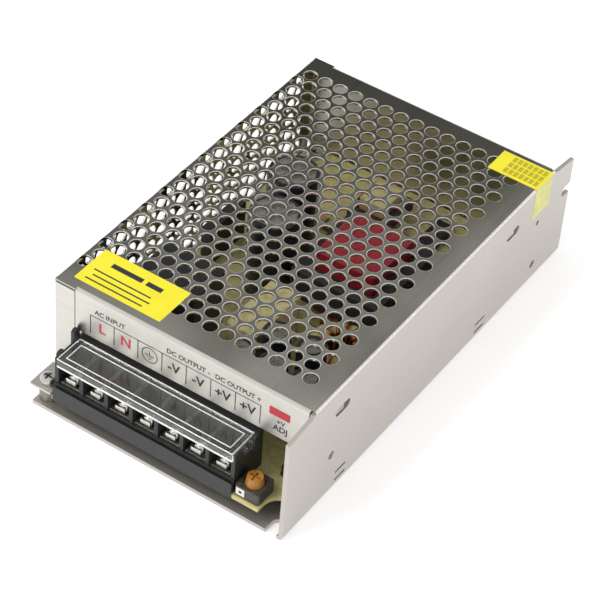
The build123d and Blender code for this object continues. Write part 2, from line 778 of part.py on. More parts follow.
# Transformers: a ferrite frame with a middle leg, and a taped winding on that leg
transformers = (
    ("main_transformer", main_place, main_frame, main_center_leg, main_side_leg, main_winding_height),
    ("drive_transformer", drive_place, drive_frame, drive_center_leg, drive_side_leg, drive_winding_height),
)
for name, place, frame, center_leg, side_leg, winding_height in transformers:
    frame_x, frame_y, frame_z = frame
    middle = board_top + winding_height / 2
    window_x = frame_x - 2 * side_leg
    window_y = (frame_y - center_leg) / 2 - side_leg
    with BuildPart() as transformer_core:
        with BuildSketch(Plane.XY.offset(middle - frame_z / 2)):
            with Locations(place):
                Rectangle(frame_x, frame_y)
            with Locations([(place[0], place[1] + y) for y in mirrored([(center_leg + window_y) / 2])]):
                Rectangle(window_x, window_y, mode=Mode.SUBTRACT)
        extrude(amount=frame_z)
    transformer_core.part.label = f"{name}_core"
    export_step(transformer_core.part, f"parts/{name}_core.step")

    with BuildPart() as transformer_winding:
        with BuildSketch(Plane.XY.offset(board_top)):
            with Locations(place):
                Rectangle(window_x - 2 * winding_gap, center_leg + 2 * (window_y - winding_gap))
        extrude(amount=winding_height)
        with BuildSketch(Plane.YZ.offset(place[0] - frame_x / 2)):
            with Locations((place[1], middle)):
                Rectangle(center_leg + 2 * winding_gap, frame_z + 2 * winding_gap)
        extrude(amount=frame_x, mode=Mode.SUBTRACT)
        upright = transformer_winding.edges().filter_by(Axis.Z)
        chamfer(upright.group_by(lambda edge: round(edge.length))[-1], length=side_leg / 4)
    transformer_winding.part.label = f"{name}_winding"
    export_step(transformer_winding.part, f"parts/{name}_winding.step")

# Output inductor: ring core with its turns
core_level = board_top + inductor_wire + slip_gap
with BuildPart() as inductor_core:
    with BuildSketch(Plane.XY.offset(core_level)):
        with Locations(inductor_place):
            RegularPolygon(inductor_outer, capacitor_sides)
            RegularPolygon(inductor_inner, screw_sides, mode=Mode.SUBTRACT)
    extrude(amount=inductor_height)
inductor_core.part.label = "inductor_core"
export_step(inductor_core.part, "parts/inductor_core.step")

turn_middle = (inductor_outer + inductor_inner) / 2
turn_width = inductor_outer - inductor_inner + 2 * slip_gap
turn_height = inductor_height + 2 * slip_gap
turn_center = (inductor_place[0], inductor_place[1], core_level + inductor_height / 2)
with BuildPart() as inductor_winding:
    with Locations(Location(turn_center)):
        with PolarLocations(turn_middle, inductor_turns):
            Box(turn_width + 2 * inductor_wire, inductor_wire, turn_height + 2 * inductor_wire)
    with Locations(Location(turn_center)):
        with PolarLocations(turn_middle, inductor_turns):
            Box(turn_width, 2 * inductor_wire, turn_height, mode=Mode.SUBTRACT)
inductor_winding.part.label = "inductor_winding"
export_step(inductor_winding.part, "parts/inductor_winding.step")

# Heat spreader beside the side wall, its insulating pads, the power packages and their clamp bars
with BuildPart() as heat_spreader:
    with BuildSketch(Plane.XY.offset(board_top)):
        with Locations(((spreader_left + spreader_right) / 2, sum(spreader_ends) / 2)):
            Rectangle(spreader_thickness, spreader_ends[1] - spreader_ends[0])
    extrude(amount=spreader_top - board_top)
heat_spreader.part.label = "heat_spreader"
export_step(heat_spreader.part, "parts/heat_spreader.step")

package_groups = (("switching_transistors", transistor_places), ("output_rectifiers", rectifier_places))
for name, places in package_groups:
    lead_places = [(y + lead_pitch * (k - (lead_count - 1) / 2)) for y in places for k in range(lead_count)]
    with BuildPart() as packages:
        with BuildSketch(Plane.YZ.offset(package_left)):
            with Locations([(y, package_level + package_height / 2) for y in places]):
                Rectangle(package_width, package_height)
        extrude(amount=package_thickness)
        with BuildSketch(Plane.XY.offset(board_top)):
            with Locations([(package_left + package_thickness / 2, y) for y in lead_places]):
                Rectangle(lead_depth, lead_width)
        extrude(amount=package_level - board_top)
    packages.part.label = name
    export_step(packages.part, f"parts/{name}.step")

package_places = (*transistor_places, *rectifier_places)
with BuildPart() as insulating_pads:
    with BuildSketch(Plane.YZ.offset(pad_left)):
        with Locations([(y, package_level + package_height / 2 - pad_thickness) for y in package_places]):
            Rectangle(package_width + 2 * pad_thickness, package_height - 2 * pad_thickness)
    extrude(amount=pad_thickness)
insulating_pads.part.label = "insulating_pads"
export_step(insulating_pads.part, "parts/insulating_pads.step")

bar_spans = [(min(places), max(places)) for group, places in package_groups]
with BuildPart() as clamp_bars:
    with BuildSketch(Plane.YZ.offset(bar_left)):
        for first, last in bar_spans:
            with Locations(((first + last) / 2, bar_level)):
                Rectangle(last - first + package_width + 2 * bar_overhang, bar_height)
                RegularPolygon(screw_radius + sheet_gap, shank_sides, mode=Mode.SUBTRACT)
    extrude(amount=bar_thickness)
clamp_bars.part.label = "clamp_bars"
export_step(clamp_bars.part, "parts/clamp_bars.step")

with BuildPart() as bar_screws:
    with BuildSketch(Plane.YZ.offset(bar_left)):
        with Locations([((first + last) / 2, bar_level) for first, last in bar_spans]):
            RegularPolygon(screw_head_radius, screw_sides)
    extrude(amount=-screw_head_height)
    with BuildSketch(Plane.YZ.offset(bar_left)):
        with Locations([((first + last) / 2, bar_level) for first, last in bar_spans]):
            RegularPolygon(screw_radius, shank_sides)
    extrude(amount=spreader_left - bar_left)
bar_screws.part.label = "bar_screws"
export_step(bar_screws.part, "parts/bar_screws.step")

# Control chip and power resistors
with BuildPart() as control_chip:
    with BuildSketch(Plane.XY.offset(board_top)):
        with Locations(chip_place):
            Rectangle(chip_size[0], chip_size[1])
    extrude(amount=chip_size[2])
control_chip.part.label = "control_chip"
export_step(control_chip.part, "parts/control_chip.step")

with BuildPart() as power_resistors:
    for x, y in resistor_places:
        with BuildSketch(Plane.YZ.offset(x - resistor_length / 2)):
            with Locations((y, board_top + resistor_radius)):
                RegularPolygon(resistor_radius, screw_sides, major_radius=False, rotation=flat_down)
        extrude(amount=resistor_length)
power_resistors.part.label = "power_resistors"
export_step(power_resistors.part, "parts/power_resistors.step")
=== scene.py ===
"""Mesh case switching power supply: the visible pieces, their finishes and the studio, over the CAD frame."""

import math

import bmesh
import bpy
from bpy.props import FloatProperty, FloatVectorProperty, IntProperty, PointerProperty
from mathutils import Matrix, Vector


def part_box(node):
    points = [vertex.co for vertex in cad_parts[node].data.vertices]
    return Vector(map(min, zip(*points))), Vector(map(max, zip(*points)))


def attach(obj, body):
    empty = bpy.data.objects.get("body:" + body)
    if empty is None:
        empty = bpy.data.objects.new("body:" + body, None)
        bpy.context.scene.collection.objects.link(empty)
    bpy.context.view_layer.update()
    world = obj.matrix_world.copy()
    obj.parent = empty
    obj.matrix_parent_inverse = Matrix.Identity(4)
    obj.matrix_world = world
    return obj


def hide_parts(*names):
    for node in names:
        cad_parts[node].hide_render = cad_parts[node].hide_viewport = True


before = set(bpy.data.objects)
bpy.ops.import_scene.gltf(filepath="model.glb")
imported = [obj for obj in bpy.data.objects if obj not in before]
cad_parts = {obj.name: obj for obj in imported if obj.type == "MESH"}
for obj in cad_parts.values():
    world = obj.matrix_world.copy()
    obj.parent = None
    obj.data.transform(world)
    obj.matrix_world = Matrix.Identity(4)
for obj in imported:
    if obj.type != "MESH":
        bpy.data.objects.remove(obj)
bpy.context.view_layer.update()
MM = 0.001
HALF = math.pi / 2

# Outer faces of the object from its middle, in millimetres: the two long sides, the skirt and the back wall,
# and the ends of the feet
SIDE = 49.0
COVER_END = 72.5
CASE_END = 85.0
# Ways of the terminal block, each with a screw and a clamp
WAYS = 7

# Materials and Geometry Nodes trees by name, made by the first operator
FINISH = {}
TREES = {}

bl_info = {
    "name": "Mesh case power supply",
    "version": (1, 0, 0),
    "blender": (4, 5, 0),
    "location": "View3D > Sidebar > Power supply",
    "description": "Builds the visible pieces of a mesh case switching power supply over its CAD frame",
    "category": "Object",
}


def linear(code):
    """An sRGB hex colour as the linear RGBA that a colour socket holds."""
    parts = [int(code[i:i + 2], 16) / 255 for i in (1, 3, 5)]
    return tuple(c / 12.92 if c <= 0.04045 else ((c + 0.055) / 1.055) ** 2.4 for c in parts) + (1.0,)


def length(name, millimetres, description):
    """A length property, given in millimetres and kept in metres."""
    return FloatProperty(
        name=name, description=description, default=millimetres * MM, min=0.0, unit="LENGTH", precision=5
    )


def colour(name, code, description):
    """A colour property from an sRGB hex value."""
    return FloatVectorProperty(
        name=name, description=description, default=linear(code), size=4, min=0.0, max=1.0, subtype="COLOR"
    )


# Sizes and colours that a user would change

class CoverSizes(bpy.types.PropertyGroup):
    """Sizes of the folded cover and its perforation."""

    sheet: length("Sheet", 0.8, "Thickness of the cover sheet")
    bend: length("Bend", 1.2, "Outside radius of the folds")
    top: length("Top", 44.94, "Height of the top, which leaves room for the labels below the CAD box")
    hole: length("Hole", 4.9, "Diameter of one ventilation hole")
    pitch: length("Pitch", 6.2, "Distance between neighbouring holes")
    rim: length("Rim", 0.27, "Width of the rolled edge that the punch leaves round each hole")
    rim_depth: length("Rim depth", 0.13, "Depth of that rolled edge")
    rows: IntProperty(name="Rows", description="Rows of holes from front to back", default=24, min=2)
    columns: IntProperty(name="Columns", description="Holes across the top in one row", default=14, min=2)
    hole_sides: IntProperty(name="Hole sides", description="Facets of each hole", default=24, min=8)


class FittingSizes(bpy.types.PropertyGroup):
    """Sizes of the screws, the winding and the softened edges."""

    head_radius: length("Head radius", 2.8, "Radius of an M3 pan head")
    head_height: length("Head height", 2.1, "Height of an M3 pan head")
    shank_radius: length("Shank radius", 1.45, "Radius of an M3 shank")
    wire: length("Wire", 1.2, "Diameter of the enamelled wire on the output inductor")
    turns: IntProperty(name="Turns", description="Turns of wire on the output inductor", default=14, min=3)
    sheet_edge: length("Sheet edge", 0.18, "Rounding on the edges of the chassis sheet")
    moulded_edge: length("Moulded edge", 0.25, "Rounding on the edges of moulded parts")


class FinishColours(bpy.types.PropertyGroup):
    """Colours of the main finishes."""

    plated: colour("Plated steel", "#BFBEB8", "Bright zinc plating of the cover")
    aluminium: colour("Aluminium", "#C8C2BC", "Mill finish of the chassis")
    block: colour("Terminal block", "#272928", "Moulded terminal block")
    board: colour("Circuit board", "#D6CE8C", "Coated paper board")
    label: colour("Labels", "#EFE32A", "Yellow film labels")
    ink: colour("Ink", "#232225", "Dark print")
    red_ink: colour("Red ink", "#C23A40", "Red print")
    rotor: colour("Adjuster rotor", "#C48A3A", "Amber rotor of the adjuster")
    tape: colour("Transformer tape", "#A62A34", "Polyester tape on the main transformer")


# Nodes and meshes

def add(tree, kind, links=None, **settings):
    """Adds a node, makes its settings, then links its inputs or sets their values."""
    node = tree.nodes.new(kind)
    for name, value in settings.items():
        setattr(node, name, value)
    for key, value in (links or {}).items():
        if isinstance(value, bpy.types.NodeSocket):
            tree.links.new(value, node.inputs[key])
        else:
            node.inputs[key].default_value = value
    return node


def surface(slot, name, light, dark, grain, roughness, bump=0.0, stretch=(1.0, 1.0, 1.0), **sockets):
    """Makes a finish whose colour, roughness and relief wander at the size of its grain, in millimetres.

    Returns its tree, its shader and the object coordinates, for a pattern on top."""
    made = bpy.data.materials.new(name)
    made.use_nodes = True
    tree = made.node_tree
    tree.nodes.clear()
    place = add(tree, "ShaderNodeTexCoord").outputs["Object"]
    drawn = add(tree, "ShaderNodeMapping", {"Vector": place, "Scale": stretch})
    noise = add(
        tree, "ShaderNodeTexNoise", {"Vector": drawn.outputs[0], "Scale": 1 / (grain * MM), "Detail": 4.0}
    ).outputs[0]
    spread = add(tree, "ShaderNodeMapRange", {"Value": noise, "From Min": 0.35, "From Max": 0.65}).outputs[0]
    tint = add(tree, "ShaderNodeMix", {0: spread, 6: dark, 7: light}, data_type="RGBA").outputs[2]
    rough = add(
        tree, "ShaderNodeMapRange",
        {"Value": noise, "From Min": 0.3, "From Max": 0.7, "To Min": roughness[0], "To Max": roughness[1]},
    ).outputs[0]
    shader = add(tree, "ShaderNodeBsdfPrincipled", {"Base Color": tint, "Roughness": rough})
    for socket, value in sockets.items():
        shader.inputs[socket.replace("_", " ")].default_value = value
    if bump:
        relief = add(tree, "ShaderNodeBump", {"Strength": bump, "Distance": 0.05 * MM, "Height": noise})
        tree.links.new(relief.outputs[0], shader.inputs["Normal"])
    add(tree, "ShaderNodeOutputMaterial", {"Surface": shader.outputs[0]})
    FINISH[slot] = made
    return tree, shader, place


def stain_and_painted_shade(tree, shader, amount, tone):
    """Mixes a second tone into the colour that a finish has so far."""
    own = shader.inputs["Base Color"].links[0].from_socket
    mixed = add(tree, "ShaderNodeMix", {0: amount, 6: own, 7: tone}, data_type="RGBA").outputs[2]
    tree.links.new(mixed, shader.inputs["Base Color"])


def shade(tone, factor):
    """A linear colour made darker or lighter by a factor."""
    return tuple(min(1.0, c * factor) for c in tone[:3]) + (1.0,)


def add_box(made, low, high, slot=0):
    """Adds a box between two corners, in millimetres."""
    corners = bmesh.ops.create_cube(made, size=1.0)["verts"]
    for v in corners:
        v.co = Vector(low[i] + (v.co[i] + 0.5) * (high[i] - low[i]) for i in range(3)) * MM
    for face in {f for v in corners for f in v.link_faces}:
        face.material_index = slot


def add_prism(made, outline, axis, low, high, slot=0):
    """Adds a solid of one closed outline between two levels of an axis, in millimetres.

    The outline holds the other two axes in their order."""
    rings = []
    for level in (low, high):
        ring = []
        for a, b in outline:
            point = {"x": (level, a, b), "y": (a, level, b), "z": (a, b, level)}[axis]
            ring.append(made.verts.new(Vector(point) * MM))
        rings.append(ring)
    faces = [made.faces.new(rings[0]), made.faces.new(rings[1][::-1])]
    count = len(outline)
    for i in range(count):
        j = (i + 1) % count
        faces.append(made.faces.new((rings[0][i], rings[0][j], rings[1][j], rings[1][i])))
    for face in faces:
        face.material_index = slot


def add_lathe(made, profile, sides, place=Matrix.Identity(4), slots=None, closed=False):
    """Adds a turned form whose profile holds (radius, height) in millimetres.

    Slots is a finish for each step of the profile, or a rule that takes the step and the side."""
    rings = []
    for radius, height in profile:
        if radius == 0:
            rings.append([made.verts.new(place @ (Vector((0, 0, height)) * MM))])
            continue
        ring = []
        for i in range(sides):
            turn = 2 * math.pi * (i + 0.5) / sides
            point = Vector((radius * math.cos(turn), radius * math.sin(turn), height)) * MM
            ring.append(made.verts.new(place @ point))
        rings.append(ring)
    pairs = list(zip(rings, rings[1:]))
    if closed:
        pairs.append((rings[-1], rings[0]))
    for step, (low, high) in enumerate(pairs):
        for i in range(sides):
            j = (i + 1) % sides
            loop = [low[i % len(low)], low[j % len(low)], high[j % len(high)], high[i % len(high)]]
            loop = [v for k, v in enumerate(loop) if v not in loop[:k]]
            if len(loop) > 2:
                face = made.faces.new(loop)
                if slots:
                    face.material_index = slots(step, i) if callable(slots) else slots[step]


def folded(corners, sheet, bend, turn, steps=5):
    """The closed outline of a folded sheet, from the corners of one face of it.

    All folds are square. Turn is 1 where the thickness lies left of the way along the corners, -1 where it
    lies right."""
    points = [Vector(c) for c in corners]
    ways = [(b - a).normalized() for a, b in zip(points, points[1:])]
    sides = [Vector((-w.y, w.x)) * turn for w in ways]
    near, far = [points[0]], [points[0] + sides[0] * sheet]
    for corner, before, after, side in zip(points[1:], ways, ways[1:], sides):
        inward = after.dot(side) > 0
        radius = bend if inward else bend - sheet
        other = radius - sheet if inward else radius + sheet
        centre = corner - before * radius + after * radius
        for i in range(steps + 1):
            angle = HALF * i / steps
            way = -after * math.cos(angle) + before * math.sin(angle)
            near.append(centre + way * radius)
            far.append(centre + way * other)
    near.append(points[-1])
    far.append(points[-1] + sides[-1] * sheet)
    outline = []
    for p in near + far[::-1]:
        if not outline or (p - outline[-1]).length > 1e-6:
            outline.append(p)
    return [tuple(p) for p in outline]


def shaded(mesh, angle=35):
    """Shades a mesh smooth, with edges kept sharp above an angle in degrees."""
    mesh.shade_smooth()
    mesh.set_sharp_from_angle(angle=math.radians(angle))


def linked(name, data):
    """Links a new object that holds a mesh, a lamp or a camera."""
    holder = bpy.data.objects.new(name, data)
    bpy.context.scene.collection.objects.link(holder)
    return holder


def plain_object(name, made, materials=(), angle=35):
    """Makes an object at the origin from a bmesh, with outward faces and smooth shading below an angle."""
    bmesh.ops.recalc_face_normals(made, faces=made.faces)
    mesh = bpy.data.meshes.new(name)
    made.to_mesh(mesh)
    made.free()
    for material in materials:
        mesh.materials.append(material)
    shaded(mesh, angle)
    return linked(name, mesh)


def applied(piece):
    """Turns the modifiers' result into the object's own mesh."""
    bpy.context.view_layer.update()
    graph = bpy.context.evaluated_depsgraph_get()
    mesh = bpy.data.meshes.new_from_object(piece.evaluated_get(graph), depsgraph=graph)
    old = piece.data
    piece.modifiers.clear()
    piece.data = mesh
    bpy.data.meshes.remove(old)
    mesh.name = piece.name


def discard(piece):
    """Removes a tool or pattern piece that has done its work."""
    mesh = piece.data
    bpy.data.objects.remove(piece)
    bpy.data.meshes.remove(mesh)


def seat(piece, body, slot, *nodes):
    """Attaches a finished piece to its body and hides the CAD nodes that it stands for. The slot is not used.
    """
    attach(piece, body)
    if nodes:
        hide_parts(*nodes)


def softened(node, name, material, body, slot, width, shift=None):
    """A copy of a CAD node with merged corners and small roundings, which stands for the node.

    Width is the roundings' size in millimetres; shift may move each point first."""
    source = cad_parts[node]
    made = bmesh.new()
    made.from_mesh(source.data)
    bmesh.ops.remove_doubles(made, verts=made.verts, dist=1e-6)
    bmesh.ops.dissolve_limit(made, angle_limit=math.radians(1), verts=made.verts, edges=made.edges)
    if shift:
        for v in made.verts:
            shift(v)
    mesh = bpy.data.meshes.new(name)
    made.to_mesh(mesh)
    made.free()
    mesh.materials.clear()
    mesh.materials.append(material)
    for face in mesh.polygons:
        face.material_index = 0
    piece = linked(name, mesh)
    bevel = piece.modifiers.new("Edge", "BEVEL")
    bevel.width = width * MM
    bevel.segments = 2
    bevel.limit_method = "ANGLE"
    bevel.angle_limit = math.radians(35)
    mesh.shade_smooth()
    even = piece.modifiers.new("Even shading", "WEIGHTED_NORMAL")
    even.weight = 100
    applied(piece)
    seat(piece, body, slot, node)


# Geometry Nodes trees

def new_tree(name, sockets):
    """Starts a tree with its named inputs and returns it with the group's outputs by name."""
    tree = bpy.data.node_groups.new(name, "GeometryNodeTree")
    tree.interface.new_socket("Geometry", in_out="INPUT", socket_type="NodeSocketGeometry")
    for label, kind in sockets:
        tree.interface.new_socket(label, in_out="INPUT", socket_type="NodeSocket" + kind)
    tree.interface.new_socket("Geometry", in_out="OUTPUT", socket_type="NodeSocketGeometry")
    return tree, add(tree, "NodeGroupInput").outputs


def lattice(tree, given):
    """Points in staggered rows, from the tree's named inputs."""
    count = add(
        tree, "ShaderNodeMath", {0: given["Rows"], 1: given["Columns"]}, operation="MULTIPLY"
    ).outputs[0]
    index = add(tree, "GeometryNodeInputIndex").outputs[0]
    share = add(tree, "ShaderNodeMath", {0: index, 1: given["Columns"]}, operation="DIVIDE").outputs[0]
    row = add(tree, "ShaderNodeMath", {0: share}, operation="FLOOR").outputs[0]
    column = add(tree, "ShaderNodeMath", {0: index, 1: given["Columns"]}, operation="MODULO").outputs[0]
    odd = add(tree, "ShaderNodeMath", {0: row, 1: 2.0}, operation="MODULO").outputs[0]
    place = given["Start"]
    for steps, way in ((row, "Row step"), (column, "Column step"), (odd, "Stagger")):
        place = add(
            tree, "ShaderNodeVectorMath", {0: steps, 1: given[way], 2: place}, operation="MULTIPLY_ADD"
        ).outputs[0]
    return add(tree, "GeometryNodePoints", {"Count": count, "Position": place}).outputs[0]


def instances(tree, points, piece):
    """Copies of the piece on the points, made real."""
    shape = add(tree, "GeometryNodeObjectInfo", {"Object": piece}).outputs["Geometry"]
    placed = add(tree, "GeometryNodeInstanceOnPoints", {"Points": points, "Instance": shape}).outputs[0]
    return add(tree, "GeometryNodeRealizeInstances", {0: placed}).outputs[0]


def end_tree(tree, geometry, given):
    """Ends the tree in the material and the group's output."""
    finished = add(tree, "GeometryNodeSetMaterial", {"Geometry": geometry, "Material": given["Material"]})
    add(tree, "NodeGroupOutput", {0: finished.outputs[0]})
    return tree


GRID = (
    ("Rows", "Int"), ("Columns", "Int"), ("Start", "Vector"), ("Row step", "Vector"),
    ("Column step", "Vector"), ("Stagger", "Vector"), ("Material", "Material"),
)


def punched_sheet_tree():
    """Cuts one punch through the sheet at each point of a staggered lattice."""
    tree, given = new_tree("Punched sheet", (("Punch", "Object"),) + GRID)
    punches = instances(tree, lattice(tree, given), given["Punch"])
    cut = add(
        tree, "GeometryNodeMeshBoolean", {0: given["Geometry"], 1: punches}, operation="DIFFERENCE",
        solver="MANIFOLD",
    ).outputs[0]
    return end_tree(tree, cut, given)


def rows_tree():
    """Repeats one piece in rows."""
    tree, given = new_tree("Pieces in rows", (("Piece", "Object"),) + GRID)
    return end_tree(tree, instances(tree, lattice(tree, given), given["Piece"]), given)


def winding_tree():
    """Winds square turns of wire round a ring."""
    tree, given = new_tree(
        "Wire turns",
        (
            ("Turns", "Int"), ("Wire", "Float"), ("Ring radius", "Float"), ("Across", "Float"),
            ("Height", "Float"), ("Centre", "Vector"), ("Material", "Material"),
        ),
    )
    square = add(
        tree, "GeometryNodeCurvePrimitiveQuadrilateral", {"Width": given["Across"], "Height": given["Height"]}
    ).outputs[0]
    loop = add(
        tree, "GeometryNodeFilletCurve", {"Curve": square, "Radius": given["Wire"], "Count": 3}, mode="POLY"
    ).outputs[0]
    half_wire = add(tree, "ShaderNodeMath", {0: given["Wire"], 1: 0.5}, operation="MULTIPLY").outputs[0]
    section = add(tree, "GeometryNodeCurvePrimitiveCircle", {"Resolution": 8, "Radius": half_wire}).outputs[0]
    wire = add(tree, "GeometryNodeCurveToMesh", {"Curve": loop, "Profile Curve": section}).outputs[0]
    out = add(tree, "ShaderNodeCombineXYZ", {0: given["Ring radius"]}).outputs[0]
    turn = add(
        tree, "GeometryNodeTransform", {"Geometry": wire, "Translation": out, "Rotation": (HALF, 0.0, 0.0)}
    ).outputs[0]
    points = add(
        tree, "GeometryNodePoints", {"Count": given["Turns"], "Position": given["Centre"]}
    ).outputs[0]
    index = add(tree, "GeometryNodeInputIndex").outputs[0]
    share = add(tree, "ShaderNodeMath", {0: index, 1: given["Turns"]}, operation="DIVIDE").outputs[0]
    angle = add(tree, "ShaderNodeMath", {0: share, 1: 2 * math.pi}, operation="MULTIPLY").outputs[0]
    spin = add(tree, "ShaderNodeCombineXYZ", {2: angle}).outputs[0]
    placed = add(
        tree, "GeometryNodeInstanceOnPoints", {"Points": points, "Instance": turn, "Rotation": spin}
    ).outputs[0]
    return end_tree(tree, add(tree, "GeometryNodeRealizeInstances", {0: placed}).outputs[0], given)


def places_tree():
    """Stands one piece on each vertex of a carrier; the material goes on its first finish alone."""
    tree, given = new_tree("Pieces on places", (("Piece", "Object"), ("Material", "Material")))
    real = instances(tree, given["Geometry"], given["Piece"])
    index = add(tree, "GeometryNodeInputMaterialIndex").outputs[0]
    first = add(tree, "FunctionNodeCompare", {2: index, 3: 0}, data_type="INT", operation="EQUAL").outputs[0]
    finished = add(
        tree, "GeometryNodeSetMaterial", {"Geometry": real, "Selection": first, "Material": given["Material"]}
    )
    add(tree, "NodeGroupOutput", {0: finished.outputs[0]})
    return tree


def grow(piece, tree, values):
    """Puts the tree on the object and sets its inputs by their identifiers."""
    modifier = piece.modifiers.new(tree.name, "NODES")
    modifier.node_group = tree
    for item in tree.interface.items_tree:
        if item.in_out == "INPUT" and item.name in values:
            modifier[item.identifier] = values[item.name]


def metres(*millimetres):
    """A point in metres, from millimetres."""
    return tuple(v * MM for v in millimetres)


def carrier(name, places):
    """An object with one loose vertex at each place, in millimetres."""
    mesh = bpy.data.meshes.new(name)
    mesh.from_pydata([metres(*p) for p in places], [], [])
    return linked(name, mesh)


def stand_on(name, pattern, places):
    """One object with a copy of the pattern piece on each place, in the pattern's finishes."""
    piece = carrier(name, places)
    grow(piece, TREES["places"], {"Piece": pattern, "Material": pattern.data.materials[0]})
    applied(piece)
    shaded(piece.data)
    discard(pattern)
    return piece


def grid(rows, columns, start, row_step, column_step, stagger, material):
    """The lattice's inputs; the places and steps are in millimetres."""
    return {
        "Rows": rows, "Columns": columns, "Start": metres(*start), "Row step": metres(*row_step),
        "Column step": metres(*column_step), "Stagger": metres(*stagger), "Material": material,
    }


def marks_into(made, name, size, slot, given):
    """Adds one printed mark, a box between two corners, to a bmesh in rows."""
    shape = bmesh.new()
    add_box(shape, *size)
    mark = plain_object("pattern_" + name, shape)
    rows = carrier(name + "_rows", [(0, 0, 0)])
    grow(rows, TREES["rows"], {"Piece": mark, **given})
    applied(rows)
    for face in rows.data.polygons:
        face.material_index = slot
    made.from_mesh(rows.data)
    discard(rows)
    discard(mark)


def words_into(made, words, height, place, thickness, slot):
    """Adds raised print to a bmesh, facing -Y at a place in millimetres, made a mesh before it is placed."""
    curve = bpy.data.curves.new("words", "FONT")
    curve.body = words
    curve.size = height * MM
    curve.extrude = thickness * MM / 2
    curve.align_x = "CENTER"
    curve.align_y = "CENTER"
    curve.resolution_u = 4
    curve.offset = 0.022 * height * MM
    source = bpy.data.objects.new("words", curve)
    mesh = bpy.data.meshes.new_from_object(source)
    mesh.transform(Matrix.Translation(metres(*place)) @ Matrix.Rotation(HALF, 4, "X"))
    for face in mesh.polygons:
        face.material_index = slot
    made.from_mesh(mesh)
    bpy.data.objects.remove(source)
    bpy.data.curves.remove(curve)
    bpy.data.meshes.remove(mesh)


# Finishes

